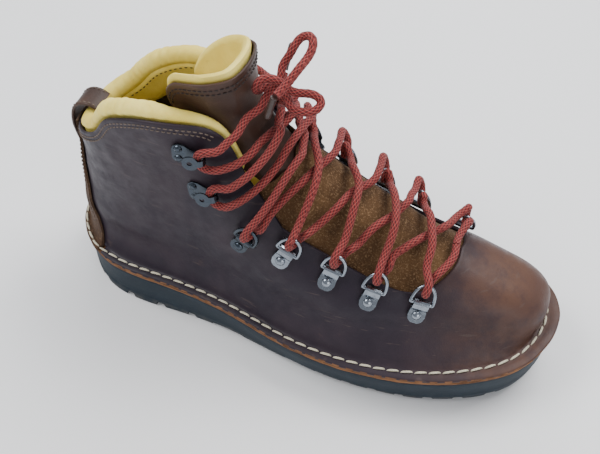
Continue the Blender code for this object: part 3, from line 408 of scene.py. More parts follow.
CLIP_TOP = BAR_C - FOLD_R + METAL_T * 1.5 + 0.3


def ring_frame(spot):
    """Bar centre of a ring, its reach direction, the bar direction and its upper face."""
    frame = spot_frame(spot)
    bar = local(frame, BAR_A, 0, BAR_C)
    t, u = tip_place(spot)
    reach = skin(t, u, -RING_LIFT)[0] - bar
    reach -= frame[2] * np.dot(reach, frame[2])
    reach /= np.linalg.norm(reach)
    return bar, reach, frame[2], np.cross(reach, frame[2])


HOOK_R = 3.15


def ring_wrap(spot, incoming, outgoing):
    """Lace centre points round a ring's arc: under, inside, over."""
    bar, reach, across, face = ring_frame(spot)
    tip = bar + reach * RING_H
    rows = [(0.95, -0.62, incoming), (0.0, -1.0, incoming * 0.8), (-0.75, -0.65, incoming * 0.4),
            (-0.75, 0.65, outgoing * 0.4), (0.0, 1.0, outgoing * 0.8), (0.95, 0.72, outgoing)]
    return [tip + reach * a * WRAP_R + face * c * WRAP_R + across * b for a, c, b in rows]


def hook_wrap(spot, first):
    """Lace centre points behind a hook's neck; first is -1 or 1 for the entry side."""
    frame = spot_frame(spot)
    c = 0.5 + HOOK_R
    rows = [(13.8, 6.0, c + 0.6), (10.2, 6.2, c), (6.9, 4.2, c), (5.6, 0.0, c), (6.9, -4.2, c),
            (10.2, -6.2, c), (13.8, -6.0, c + 0.6)]
    return [local(frame, a, b * first, h) for a, b, h in rows]


def tip_place(spot):
    """Surface place (t, signed u) under the tip of a ring or hook."""
    side, (t0, u0), (t1, u1) = spot
    return t0 + (t1 - t0) * 1.6, (u0 + (u1 - u0) * 1.6) * -side


FIELD_T, FIELD_U = [g.ravel() for g in np.meshgrid(np.linspace(0.3, 1.2, 91),
                                                   np.linspace(-0.5, 0.5, 101), indexing="ij")]
FIELD = surface(FIELD_T, FIELD_U)


def lead_place(spot, way):
    """Surface place a strand leaves for or comes in by; a hook's two legs stay apart."""
    if spot in RING_SPOTS.values():
        return tip_place(spot)
    at = local(spot_frame(spot), 21.0, 4.5 * way * spot[0], 0.0)
    k = int(np.argmin(((FIELD - at) ** 2).sum(1)))
    return FIELD_T[k], FIELD_U[k]


def strand(start, end, lift):
    """Middle points of a strand between two surface places, held off the leather."""
    (t0, u0), (t1, u1) = start, end
    a, b = surface(t0, u0)[0], surface(t1, u1)[0]
    crest = normal((t0 + t1) / 2, 0.0)[0]
    out = []
    for f in (0.14, 0.32, 0.5, 0.68, 0.86):
        p = a + (b - a) * f
        w = 4 * f * (1 - f)
        ray = crest * w + (normal(t0, u0)[0] * (1 - f) + normal(t1, u1)[0] * f) * (1 - w)
        ray /= np.linalg.norm(ray)
        off = FIELD - p
        along = off @ ray
        miss = np.linalg.norm(off - along[:, None] * ray, axis=1) + np.where(along < -6, 99, 0)
        k = int(np.argmin(miss))
        h = np.interp(f, (0.2, 0.5, 0.8), lift)
        out.append(skin(FIELD_T[k], FIELD_U[k], -h)[0])
    return out


# Bow, world millimetres: each half from where it reaches the knot to its tip.
BOW_NEAR = [(-27, -8, 163), (-22, -3, 169), (-19, 4, 173), (-16, 11, 179), (-13, 18, 186), (-9, 23, 191),
            (-4, 21, 192), (-3, 14, 188), (-7, 6, 183), (-10, 0, 179), (-14, -5, 175.5), (-19, -9, 170),
            (-17, -9, 162), (-10, -5, 156)]
BOW_FAR = [(-14, 12, 152), (-18, 8, 160), (-20, 4, 166.5), (-22, -1, 172), (-19.5, -3, 178),
           (-16, 0, 180), (-9, 0, 176), (-1, 3, 173), (5, 5, 171), (7, 2, 168), (2, -3, 167), (-7, -3, 167),
           (-13, 2, 167), (-19, 11, 168), (-18, 19, 175), (-16, 27, 183), (-12, 34, 190)]


LACE_ORDER = {
    "near": ["lateral_1", "medial_2", "lateral_3", "medial_4", "lateral_5", "medial_6", "lateral_7"],
    "far": ["medial_1", "lateral_2", "medial_3", "lateral_4", "medial_5", "lateral_6", "medial_7"],
}
OVER = (8.6, 8.4, 4.4)
UNDER = (7.8, 3.4, 4.4)
TOP = (7.8, 6.6, 5.8)
LIFTS = {
    "near": [OVER, UNDER, OVER, UNDER, OVER, TOP],
    "far": [UNDER, OVER, UNDER, OVER, TOP, OVER],
}
MIDDLE = (86.0, 4.0, 88.0)


def lace_route(half):
    """Lace centre line from the middle of the toe bar to the end of the bow."""
    order = LACE_ORDER[half]
    sign = 1 if half == "near" else -1
    start = np.array(MIDDLE)
    pts = [start + np.array((0.0, -0.3 * sign, 0.0)), start + np.array((0.0, -9.0 * sign, -1.0))]
    spots = [RING_SPOTS[n] if n in RING_SPOTS else HOOK_SPOTS[n] for n in order]
    for i, (name, spot) in enumerate(zip(order, spots)):
        if name in RING_SPOTS:
            turn = (-1 if i else -0.6) * (1 if spot[0] < 0 else -1) * 2.5
            pts += ring_wrap(spot, turn, -turn)
        else:
            pts += hook_wrap(spot, spot[0])
        if i < len(order) - 1:
            pts += strand(lead_place(spot, -1), lead_place(spots[i + 1], 1), LIFTS[half][i])
    bow = BOW_NEAR if half == "near" else BOW_FAR
    return pts + [np.array(p, float) for p in bow]


def clear_height(pts):
    """Push that brings lace points up to a lace's height off the leather and tongue."""
    place = [int(np.argmin(((FIELD - p) ** 2).sum(1))) for p in pts]
    out = normal(FIELD_T[place], FIELD_U[place])
    height = ((pts - FIELD[place]) * out).sum(1)
    need = 2.7 + np.maximum(0, FIELD_T[place] - 1.04) * 26
    return out * np.maximum(0, need - height)[:, None]


def apart(runs, space):
    """Ease two runs until no stretches lie closer than a space or in the leather."""
    pts = np.vstack(runs)
    n = len(runs[0])
    arc = np.arange(len(pts)) * np.linalg.norm(pts[1] - pts[0])
    arc[n:] = arc[n] - arc[n:]
    far = np.abs(arc[:, None] - arc[None]) > 14
    for turn in range(72):
        if turn % 12 == 8:
            move = clear_height(pts)
        else:
            gap = pts[:, None] - pts[None]
            dist = np.linalg.norm(gap, axis=2) + 1e-6
            short = np.where(far & (dist < space), space - dist, 0)
            k = short.argmax(1)
            row = np.arange(len(pts))
            move = gap[row, k] * (0.3 * short[row, k] / dist[row, k])[:, None]
        for half in (slice(0, n), slice(n, None)):
            pad = np.pad(move[half], ((6, 6), (0, 0)), mode="edge")
            ease = np.stack([np.convolve(pad[:, i], np.ones(13) / 7, "valid") for i in range(3)], 1)
            pts[half] += ease * np.minimum(1, np.arange(n)[:, None] / 12.0)
    return pts[:n], pts[n:]


def lace_runs():
    runs = [through(lace_route(half), 420) for half in ("near", "far")]
    return apart(runs, 6.25)


# ---------------------------------------------------------------- material nodes

class Look:
    """Material built from nodes round one Principled shader."""

    def __init__(self, name, colour, rough, metal=0.0, **sockets):
        self.mat = bpy.data.materials.new(name)
        self.mat.use_nodes = True
        self.tree = self.mat.node_tree
        self.shader = self.tree.nodes["Principled BSDF"]
        self.fill(self.shader, {"Base Color": (*colour, 1.0), "Roughness": rough, "Metallic": metal})
        self.fill(self.shader, {name.replace("_", " "): value for name, value in sockets.items()})

    def fill(self, node, values):
        """Sets input sockets to plain values."""
        for socket, value in values.items():
            node.inputs[socket].default_value = value

    def feed(self, socket, value):
        """Puts a number, a colour or another node's output into a socket."""
        if isinstance(value, (int, float)):
            socket.default_value = value
        elif isinstance(value, tuple):
            socket.default_value = (*value, 1.0)
        else:
            self.tree.links.new(value, socket)

    def place(self, stretch=(1, 1, 1), source="Object"):
        """Coordinates in the row frame, or UV, scaled on each axis."""
        where = self.tree.nodes.new("ShaderNodeTexCoord")
        scale = self.tree.nodes.new("ShaderNodeMapping")
        self.fill(scale, {"Scale": stretch})
        self.feed(scale.inputs["Vector"], where.outputs[source])
        return scale.outputs["Vector"]

    def noise(self, scale, detail=4.0, rough=0.6, stretch=(1, 1, 1)):
        tex = self.tree.nodes.new("ShaderNodeTexNoise")
        self.fill(tex, {"Scale": scale, "Detail": detail, "Roughness": rough})
        self.feed(tex.inputs["Vector"], self.place(stretch))
        return tex.outputs["Fac"]

    def cells(self, scale):
        tex = self.tree.nodes.new("ShaderNodeTexVoronoi")
        self.fill(tex, {"Scale": scale})
        self.feed(tex.inputs["Vector"], self.place())
        return tex.outputs["Distance"]

    def span(self, value, low, high, to_low=0.0, to_high=1.0):
        """Value mapped from one range to another, clamped and eased."""
        node = self.tree.nodes.new("ShaderNodeMapRange")
        node.interpolation_type = "SMOOTHSTEP"
        self.fill(node, {"From Min": low, "From Max": high, "To Min": to_low, "To Max": to_high})
        self.feed(node.inputs["Value"], value)
        return node.outputs["Result"]

    def axes(self, source="Object"):
        split = self.tree.nodes.new("ShaderNodeSeparateXYZ")
        self.feed(split.inputs["Vector"], self.place(source=source))
        return split.outputs

    def maths(self, operation, a, b):
        node = self.tree.nodes.new("ShaderNodeMath")
        node.operation = operation
        self.feed(node.inputs[0], a)
        self.feed(node.inputs[1], b)
        return node.outputs["Value"]

    def mix(self, factor, a, b):
        node = self.tree.nodes.new("ShaderNodeMix")
        node.data_type = "RGBA"
        self.feed(node.inputs["Factor"], factor)
        self.feed(node.inputs[6], a)
        self.feed(node.inputs[7], b)
        return node.outputs[2]

    def colour(self, value):
        self.feed(self.shader.inputs["Base Color"], value)

    def rough(self, value):
        self.feed(self.shader.inputs["Roughness"], value)

    def bump(self, layers):
        """Stacks bumps: rows of (height socket, strength, depth in metres)."""
        last = None
        for height, strength, depth in layers:
            node = self.tree.nodes.new("ShaderNodeBump")
            self.fill(node, {"Strength": strength, "Distance": depth})
            self.feed(node.inputs["Height"], height)
            if last:
                self.feed(node.inputs["Normal"], last)
            last = node.outputs["Normal"]
        self.feed(self.shader.inputs["Normal"], last)


# ---------------------------------------------------------------- materials

def oiled_leather():
    """Dark brown pull-up leather: its purple-blue cast is partly its own tone and partly painted sky
    reflection, and its tan at the toe and over the vamp is partly real burnish and partly painted
    highlight.
    """
    # The blue coat tint is painted sheen: it stands in for sky reflected on the sides.
    look = Look("oiled_leather", (0.05, 0.035, 0.04), 0.45, Specular_IOR_Level=0.2,
                Coat_Weight=0.07, Coat_Roughness=0.32, Coat_Tint=(0.55, 0.66, 1.0, 1.0))
    cloud = look.noise(22, 5)
    # Purple-blue base shades: partly the leather's own tone, partly painted sky reflection.
    base = look.mix(look.span(cloud, 0.35, 0.68), (0.018, 0.0125, 0.0200), (0.032, 0.0215, 0.0285))
    # Tan at the toe, strongest on its top: partly real burnish, partly painted highlight.
    toe = look.span(look.axes()["X"], 0.062, 0.140)
    ridge = look.span(look.axes()["Z"], 0.046, 0.078)
    patch = look.span(look.noise(34, 6, 0.7), 0.33, 0.62, 0.35, 1.0)
    near_toe = look.maths("MULTIPLY", toe, patch)
    burnish_highlight_mask = look.maths("MULTIPLY", near_toe, look.maths("MAXIMUM", ridge, 0.55))
    burnish_and_highlight_colour = look.mix(burnish_highlight_mask, base, (0.140, 0.066, 0.036))
    edge_wear = look.span(look.noise(90, 8, 0.75), 0.60, 0.74, 0.0, 0.35)
    worn = look.mix(edge_wear, burnish_and_highlight_colour, (0.085, 0.050, 0.036))
    scuff = look.span(look.noise(60, 3, 0.5, (1.0, 1.0, 9.0)), 0.66, 0.70, 0.0, 0.30)
    look.colour(look.mix(scuff, worn, (0.10, 0.070, 0.058)))
    look.rough(look.span(look.noise(130, 5), 0.3, 0.7, 0.40, 0.60))
    look.bump([(look.noise(95, 4), 0.32, 0.0009), (look.cells(1100), 0.20, 0.00018),
               (look.noise(700, 4, 0.7, (1.0, 1.0, 0.35)), 0.22, 0.00022)])
    return look.mat


def tongue_leather():
    look = Look("tongue_leather", (0.07, 0.04, 0.032), 0.5, Specular_IOR_Level=0.3,
                Coat_Weight=0.06, Coat_Roughness=0.4)
    cloud = look.span(look.noise(30, 6), 0.3, 0.7)
    base = look.mix(cloud, (0.034, 0.017, 0.012), (0.068, 0.034, 0.023))
    rub = look.span(look.noise(120, 6, 0.7), 0.56, 0.72, 0.0, 0.4)
    look.colour(look.mix(rub, base, (0.12, 0.068, 0.044)))
    look.bump([(look.cells(1000), 0.28, 0.0002), (look.noise(260, 5), 0.25, 0.0004)])
    return look.mat


def rough_out(name, dark, mid, pale):
    """Napped leather: short loose fibres in three shades."""
    look = Look(name, mid, 0.95, Specular_IOR_Level=0.2, Sheen_Weight=0.08, Sheen_Roughness=0.5)
    soft = look.span(look.noise(70, 5), 0.3, 0.7)
    fibre = look.noise(950, 6, 0.75)
    body = look.mix(soft, dark, mid)
    tufts = look.span(fibre, 0.50, 0.68)
    look.colour(look.mix(tufts, body, pale))
    look.bump([(fibre, 0.75, 0.0006), (look.noise(300, 6, 0.7), 0.5, 0.0008)])
    return look.mat


def soft_leather():
    """Yellow glove leather of the collar, the gussets and the tongue's inside."""
    look = Look("soft_yellow_leather", (0.72, 0.55, 0.20), 0.55, Specular_IOR_Level=0.35,
                Subsurface_Weight=0.05, Subsurface_Scale=0.002)
    cloud = look.span(look.noise(40, 5), 0.3, 0.7)
    base = look.mix(cloud, (0.74, 0.57, 0.100), (0.90, 0.75, 0.20))
    dirt = look.span(look.noise(210, 7, 0.7), 0.58, 0.75, 0.0, 0.35)
    look.colour(look.mix(dirt, base, (0.45, 0.31, 0.07)))
    look.bump([(look.cells(1300), 0.25, 0.00016), (look.noise(150, 6, 0.65), 0.4, 0.0006)])
    return look.mat


def cut_edge(name, dark, pale):
    """Rough cut edge of thick leather."""
    look = Look(name, pale, 0.85, Specular_IOR_Level=0.2)
    streak = look.noise(160, 6, 0.7, (0.6, 0.6, 5.0))
    base = look.mix(look.span(streak, 0.35, 0.65), dark, pale)
    stain = look.span(look.noise(60, 6, 0.7), 0.50, 0.66, 0.0, 0.7)
    look.colour(look.mix(stain, base, tuple(c * 0.55 for c in dark)))
    look.bump([(streak, 0.7, 0.0006)])
    return look.mat


def sole_rubber():
    look = Look("sole_rubber", (0.033, 0.052, 0.074), 0.62, Specular_IOR_Level=0.2)
    dust = look.span(look.noise(55, 7, 0.7), 0.45, 0.72, 0.0, 0.5)
    base = look.mix(dust, (0.010, 0.019, 0.029), (0.028, 0.042, 0.056))
    low = look.span(look.axes()["Z"], 0.001, 0.010, 0.55, 0.0)
    grit = look.maths("MULTIPLY", low, look.span(look.noise(160, 6), 0.4, 0.6))
    look.colour(look.mix(grit, base, (0.075, 0.072, 0.066)))
    look.bump([(look.noise(800, 4, 0.7), 0.35, 0.0003),
               (look.noise(120, 4), 0.2, 0.0006)])
    return look.mat


def braid(name, core, dark, pale):
    """Round braid: carriers cross over, with dark and pale tracer yarns (UV: round, along)."""
    look = Look(name, core, 0.75, Specular_IOR_Level=0.25, Sheen_Weight=0.05)
    round_lace, along_lace = look.axes("UV")[:2]
    round_way = look.maths("MULTIPLY", round_lace, 8.0)
    left = look.maths("FRACT", look.maths("ADD", along_lace, round_way), 0.0)
    right = look.maths("FRACT", look.maths("SUBTRACT", along_lace, round_way), 0.0)
    tracer = look.span(left, 0.60, 0.68)
    shadow = look.span(right, 0.74, 0.82)
    yarn = look.noise(1700, 3)
    base = look.mix(look.span(yarn, 0.35, 0.65), core, tuple(c * 1.5 for c in core))
    marked = look.mix(look.maths("MULTIPLY", tracer, 0.85), base, dark)
    look.colour(look.mix(look.maths("MULTIPLY", shadow, 0.6), marked, pale))
    look.bump([(yarn, 0.5, 0.0003)])
    return look.mat


def plated(name, colour, rough, wear):
    look = Look(name, colour, rough, 1.0)
    smudge = look.span(look.noise(260, 6, 0.7), 0.4, 0.7)
    look.rough(look.span(smudge, 0, 1, rough, rough + 0.2))
    look.colour(look.mix(look.maths("MULTIPLY", smudge, 0.4), colour, wear))
    look.bump([(look.noise(500, 4), 0.12, 0.0002)])
    return look.mat


def thread(name, colour):
    look = Look(name, colour, 0.8)
    twist = look.noise(1500, 3, 0.6)
    shade = look.mix(look.span(twist, 0.35, 0.65), tuple(c * 0.62 for c in colour), colour)
    soil = look.span(look.noise(80, 5), 0.5, 0.7, 0.0, 0.4)
    look.colour(look.mix(soil, shade, tuple(c * 0.45 for c in colour)))
    look.bump([(twist, 0.6, 0.0003)])
    return look.mat


def plain_speckle(name, colour, rough, metal=0.0):
    """Inner pieces: fine two-shade speckle."""
    look = Look(name, colour, rough, metal)
    grain = look.span(look.noise(600, 5), 0.35, 0.65)
    look.colour(look.mix(grain, tuple(c * 0.75 for c in colour), colour))
    look.bump([(grain, 0.3, 0.0003)])
    return look.mat


LOOK = {
    "upper": oiled_leather(),
    "tongue": tongue_leather(),
    "strip": rough_out("rough_out_leather",
                       (0.045, 0.024, 0.014), (0.085, 0.046, 0.026), (0.18, 0.115, 0.070)),
    "suede": rough_out("suede", (0.062, 0.030, 0.012), (0.120, 0.062, 0.026), (0.27, 0.165, 0.085)),
    "yellow": soft_leather(),
    "edge": cut_edge("cut_edge_leather", (0.11, 0.046, 0.020), (0.28, 0.130, 0.055)),
    "flange_edge": cut_edge("flange_edge", (0.080, 0.036, 0.019), (0.26, 0.125, 0.062)),
    "rubber": sole_rubber(),
    "lace": braid("lace_braid", (0.165, 0.018, 0.017), (0.016, 0.004, 0.006), (0.42, 0.125, 0.100)),
    # Nickel colour darkened and blued: partly the plating, partly painted reflection of dark blue
    # surroundings.
    "nickel": plated("bright_nickel", (0.27, 0.30, 0.34), 0.17, (0.13, 0.15, 0.18)),
    "gunmetal": plated("gunmetal", (0.055, 0.068, 0.085), 0.26, (0.10, 0.11, 0.12)),
    "welt_thread": thread("welt_thread", (0.72, 0.66, 0.50)),
    "pale_thread": thread("pale_thread", (0.17, 0.125, 0.10)),
    "dark_thread": thread("dark_thread", (0.030, 0.020, 0.018)),
    "aglet": plain_speckle("aglet_film", (0.045, 0.026, 0.022), 0.3),
    "board": plain_speckle("insole_fibre", (0.32, 0.22, 0.13), 0.9),
    "foam": plain_speckle("footbed_foam", (0.10, 0.10, 0.11), 0.9),
    "steel": plain_speckle("shank_steel", (0.55, 0.56, 0.58), 0.4, 1.0),
    "stiffener": plain_speckle("stiffener_board", (0.45, 0.38, 0.28), 0.9),
}


# ---------------------------------------------------------------- mesh helpers

def piece(name, verts, faces, look, slot, body="boot", stands_for=(), uv=None):
    """Smooth mesh riding on a body; vertices in millimetres in the row frame."""
    mesh = bpy.data.meshes.new(name)
    mesh.from_pydata((np.asarray(verts, float) * MM).tolist(), [], [tuple(map(int, f)) for f in faces])
    if uv is not None:
        layer = mesh.uv_layers.new(name="UVMap")
        flat = np.concatenate([uv[f] for f in faces])
        layer.data.foreach_set("uv", flat.astype(np.float32).ravel())
    bm = bmesh.new()
    bm.from_mesh(mesh)
    if uv is None:
        bmesh.ops.remove_doubles(bm, verts=bm.verts, dist=0.000004)
    bmesh.ops.recalc_face_normals(bm, faces=bm.faces)
    if bm.calc_volume(signed=True) < 0:
        bmesh.ops.reverse_faces(bm, faces=bm.faces)
    bm.to_mesh(mesh)
    bm.free()
    mesh.shade_smooth()
    mesh.set_sharp_from_angle(angle=math.radians(52))
    obj = bpy.data.objects.new(name, mesh)
    bpy.context.scene.collection.objects.link(obj)
    mesh.materials.append(LOOK[look])
    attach(obj, body)
    if stands_for:
        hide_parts(*stands_for)
    return obj


def tube_faces(n, m, closed=False):
    """Quads of n rings of m points, with end caps when the run is open."""
    i = np.arange(n if closed else n - 1)
    a = (i[:, None] * m + np.arange(m)[None]).ravel()
    b = (i[:, None] * m + (np.arange(m)[None] + 1) % m).ravel()
    step = ((i + 1) % n * m)[:, None]
    c = (step + (np.arange(m)[None] + 1) % m).ravel()
    d = (step + np.arange(m)[None]).ravel()
    faces = list(np.stack([a, b, c, d], 1))
    if not closed:
        faces += [np.arange(m)[::-1], (n - 1) * m + np.arange(m)]
    return faces


def loft(name, loops, look, slot, closed=False, **more):
    loops = np.asarray(loops, float)
    n, m = loops.shape[:2]
    return piece(name, loops.reshape(-1, 3), tube_faces(n, m, closed), look, slot, **more)


def rounded(outer, inner, bulge):
    """Section loop of a sheet: outer face, rounded edge, inner face, rounded edge."""
    outer = np.asarray(outer, float)
    inner = np.asarray(inner, float)

    def cap(a_in, a, b, b_in):
        half = np.linalg.norm(a - b) / 2
        way = (a - a_in) / np.linalg.norm(a - a_in) + (b - b_in) / np.linalg.norm(b - b_in)
        way = way / np.linalg.norm(way) * half * 2 * bulge
        return [a * 0.85 + b * 0.15 + way * 0.7, (a + b) / 2 + way, a * 0.15 + b * 0.85 + way * 0.7]

    top = cap(outer[-2], outer[-1], inner[-1], inner[-2])
    low = cap(inner[1], inner[0], outer[0], outer[1])
    return np.concatenate([outer, top, inner[::-1], low])


def dents(t, u, outward, depth, scale, seed=0.0):
    """Depth of soft unevenness at each surface place, in millimetres."""
    values = [noise.noise(Vector((a * 100 / scale, b * 330 / scale, seed))) for a, b in zip(t, u)]
    return outward + np.array(values) * depth


def wire(path, radius, sides, closed=False):
    """Section loops of a round wire along a path, with a parallel frame."""
    path = np.asarray(path, float)
    tan = np.roll(path, -1, 0) - np.roll(path, 1, 0) if closed else np.gradient(path, axis=0)
    tan /= np.linalg.norm(tan, axis=1)[:, None]
    side = np.cross(tan[0], (0.0, 0.3, 1.0))
    loops = []
    ang = np.arange(sides) * 2 * math.pi / sides
    radius = np.broadcast_to(radius, len(path))
    for p, t, r in zip(path, tan, radius):
        side = side - t * np.dot(side, t)
        side = side / np.linalg.norm(side)
        up = np.cross(t, side)
        loops.append(p + r * (np.cos(ang)[:, None] * side + np.sin(ang)[:, None] * up))
    return np.array(loops)


# Pitch, length and thread radius of each kind of stitch.
WELT_STITCH = (7.8, 6.8, 0.66)
EDGE_STITCH = (2.9, 2.2, 0.36)
STAY_STITCH = (3.1, 2.3, 0.36)
PAD_STITCH = (3.4, 2.3, 0.36)
TONGUE_STITCH = (2.8, 2.1, 0.36)
PULL_STITCH = (2.9, 2.1, 0.34)


def stitches(name, path, out, sizes, look, slant=0.0, **more):
    """Row of separate stitches along a path; each one dives in at both ends."""
    pitch, length, radius = sizes
    path = np.asarray(path, float)
    out = np.asarray(out, float)
    run = np.concatenate([[0], np.cumsum(np.linalg.norm(np.diff(path, axis=0), axis=1))])
    count = max(1, int(run[-1] / pitch))
    verts, faces = [], []
    fractions = np.array([0.0, 0.08, 0.25, 0.5, 0.75, 0.92, 1.0])
    size = np.array([0.35, 0.75, 1.0, 1.05, 1.0, 0.75, 0.35])
    rise = np.array([-0.9, 0.05, 0.42, 0.52, 0.42, 0.05, -0.9]) * radius
    sides = 8
    ang = np.arange(sides) * 2 * math.pi / sides
    for i in range(count):
        where = (i + 0.5) * run[-1] / count + (fractions - 0.5) * length
        p = np.stack([np.interp(where, run, path[:, k]) for k in range(3)], 1)
        n = np.stack([np.interp(where, run, out[:, k]) for k in range(3)], 1)
        n /= np.linalg.norm(n, axis=1)[:, None]
        t = p[-1] - p[0]
        t /= np.linalg.norm(t)
        b = np.cross(n, t)
        p = p + n * rise[:, None] + b * ((fractions - 0.5) * slant)[:, None]
        ring = p[:, None] + radius * size[:, None, None] * (
            np.cos(ang)[None, :, None] * b[:, None] + np.sin(ang)[None, :, None] * n[:, None])
        base = len(verts) * len(fractions) * sides
        verts.append(ring.reshape(-1, 3))
        faces += [f + base for f in tube_faces(len(fractions), sides)]
    return piece(name, np.concatenate(verts), faces, look, "welt_thread_cotton", **more)


# ---------------------------------------------------------------- leather pieces

WALL = np.concatenate([np.linspace(0.02, 0.12, 5), np.linspace(0.16, 0.97, 27), [0.99, 1.0]])


def upper_columns():
    side = list(np.concatenate([np.linspace(0, HEEL_CUT - 0.012, 150), [HEEL_CUT, HEEL_CUT + 0.004],
                                np.linspace(0.884, 1.0, 14)]))
    return [(-1, v) for v in side] + [(1, v) for v in side[-2:0:-1]]


def creases(t, u):
    """Flex wrinkles over the vamp and soft waves low on the quarters, in millimetres."""
    flex = np.exp(-((t - 0.36) / 0.11) ** 2) * np.exp(-((np.abs(u) - 0.30) / 0.12) ** 2)
    wave = np.sin((np.abs(u) * 34 + t * 13)) * 0.40 * flex
    heel = np.exp(-((np.abs(u) - 0.80) / 0.10) ** 2) * np.exp(-((t - 0.62) / 0.16) ** 2)
    return -(wave + np.sin(t * 60 + np.abs(u) * 12) * 0.22 * heel)


def make_upper():
    loops = []
    for side, u0 in upper_columns():
        on = u0 <= HEEL_CUT
        edge, crease, unit, z, ze = foot_run(side, u0, 1.0 if on else 0.03)
        r = 1.5 if on else 0.12
        t, u = edge_column(side, u0)
        tt = WALL * t
        uu = (u0 + (u - u0) * WALL) * -side
        fade = np.clip(np.minimum(WALL / 0.10, (1 - WALL) / 0.06), 0, 1)
        depth = (dents(tt, uu, 0.0, 0.55, 30) + creases(tt, uu)) * fade
        face = skin(tt, uu, depth)
        back = skin(tt, uu, UPPER_T)
        rough = noise.noise(Vector((edge[0] / 9, edge[1] / 9, 3.0))) * 0.22
        e = edge + unit * rough * on
        mid = crease + unit * (np.linalg.norm(edge - crease) * 0.55)
        out = [(*(e - unit * 0.35 * on), ze), (*mid, (z + ze) / 2 + 0.12 * on),
               (*(crease + unit * r), z), (*(crease + unit * r * 0.3), z + r * 0.35)]
        low = [(*(e - unit * 0.35 * on), ze - FLANGE_T), (*mid, (z + ze) / 2 - FLANGE_T),
               (*(crease - unit * 0.2), z - FLANGE_T), (*(crease - unit * 1.2), z - FLANGE_T * 0.55)]
        outer = np.array(out + [tuple(p) for p in face])
        inner = np.array(low + [tuple(p) for p in back])
        loops.append(rounded(outer, inner, 0.42))
    upper = loft("boot_upper", loops, "upper", "upper_leather", closed=True, stands_for=("upper",))
    upper.data.materials.append(LOOK["flange_edge"])
    mark_rim(upper)
    return upper


def mark_rim(upper):
    """Cut edge of the flange: faces that look outward at the flange's height."""
    for face in upper.data.polygons:
        x, y, z = face.center / MM
        side = -1 if y < 3 else 1
        near = np.hypot(OUTLINE[side][:, 0] - x, OUTLINE[side][:, 1] - y).min()
        if near < 0.9 and abs(face.normal.z) < 0.75 and z < float(welt(x)) + 0.3:
            face.material_index = 1


def top_edge(shift):
    """Line on the upper a few millimetres below its top edge: (points, normals) per side."""
    out = []
    for side in (-1, 1):
        u0 = np.linspace(0.655, 0.999, 220)
        place = np.array([edge_column(side, v) for v in u0])
        t, u = place[:, 0], place[:, 1] * -side
        at = surface(t, u)
        nrm = normal(t, u)
        tan = np.gradient(at, axis=0)
        tan /= np.linalg.norm(tan, axis=1)[:, None]
        down = np.cross(tan, nrm) * side
        p = at + down * shift
        out.append((p, nrm))
    return out


def surface_run(t, u, rise):
    """Points standing a little off the leather along (t, u), with their normals."""
    return skin(t, u, -rise), normal(t, u)


def make_upper_stitching():
    for row, shift in enumerate((2.1, 4.4)):
        for side, (p, nrm) in zip(("lateral", "medial"), top_edge(shift)):
            stitches("edge_stitch_%s_%d" % (side, row + 1), p, nrm, EDGE_STITCH, "pale_thread")


def make_welt_stitches():
    pts = []
    for side, us in ((-1, np.linspace(0, 1, 260)), (1, np.linspace(1, 0, 260)[1:-1])):
        for u0 in us:
            _, crease, unit, _, _ = foot_run(side, u0, 1.0)
            step = 2.9 + 2.3 * float(np.interp(u0, [HEEL_CUT - 0.02, HEEL_CUT + 0.02], [0, 1]))
            p = crease + unit * step
            pts.append((p[0], p[1], float(welt(p[0])) + 0.55))
    pts = np.array(pts)
    out = np.tile((0.0, 0.0, 1.0), (len(pts), 1))
    stitches("welt_stitches", pts, out, WELT_STITCH, "welt_thread", slant=0.5,
             stands_for=("welt_thread",))


def make_heel_strip():
    loops = []
    for f in np.linspace(-1, 1, 57):
        side = 1 if f < 0 else -1
        u_low = 1 - (1 - 0.884) * abs(f)
        edge, crease, unit, z, ze = foot_run(side, u_low, 1.0)
        tt = np.linspace(0.03, STRIP_T, 34)
        uu = 1 - (1 - linear(STRIP_EDGE, tt)) * abs(f)
        uu = uu * -side
        rag = noise.noise(Vector((edge[0] / 7, edge[1] / 7, 9.0))) * 0.3
        e = edge + unit * rag
        out = [(*e, ze), (*(crease + unit * 3.6), z), (*(crease + unit * 2.6), z + 0.8)]
        low = [(*e, ze - FLANGE_T), (*(crease + unit * 0.75), z - FLANGE_T), (*(crease + unit * 0.65), z)]
        depth = dents(tt, uu, -2.1, 0.30, 14, 4.0)
        outer = np.array(out + [tuple(p) for p in skin(tt, uu, depth)])
        inner = np.array(low + [tuple(p) for p in skin(tt, uu, -0.6)])
        loops.append(rounded(outer, inner, 0.4))
    loft("back_stay", loops, "strip", "rough_out_leather", stands_for=("heel_strip",))
    for side in (-1, 1):
        t = np.linspace(0.09, STRIP_T - 0.02, 90)
        u = 1 - (1 - linear(STRIP_EDGE, t)) * 0.86
        p, nrm = surface_run(t, u * -side, 2.2)
        stitches("back_stay_stitch_%s" % ("lateral" if side < 0 else "medial"), p, nrm, STAY_STITCH,
                 "pale_thread")


def sheet_loops(t_of, u_of, d_out, d_in, across, along, dent=0.0, scale=12.0, rag=0.0):
    """Columns of a surface sheet with rounded edges; f runs across it from 0 to 1."""
    loops = []
    for f in np.linspace(0, 1, across):
        t = t_of(f, np.linspace(0, 1, along))
        u = u_of(f, t)
        depth = dents(t, u, np.broadcast_to(d_out, t.shape) * 1.0, dent, scale, 7.0)
        outer = skin(t, u, depth)
        inner = skin(t, u, d_in)
        if rag:
            for face in (outer, inner):
                face[-1] += np.array(noise.noise_vector(Vector(face[-1] / 5))) * rag
        loops.append(rounded(outer, inner, 0.4))
    return loops


def make_cover():
    def t_of(f, w):
        g = 2 * f - 1
        low = float(linear(COVER_LOW, g))
        high = float(linear(COVER_HIGH, g))
        return low + (high - low) * w

    def u_of(f, t):
        g = 2 * f - 1
        return g * linear(COVER_LATERAL if g > 0 else COVER_MEDIAL, t)

    loops = sheet_loops(t_of, u_of, 2.5, 3.8, 75, 46, dent=0.45, scale=9.0, rag=0.7)
    loft("suede_shield", loops, "suede", "suede", stands_for=("vamp_cover",))


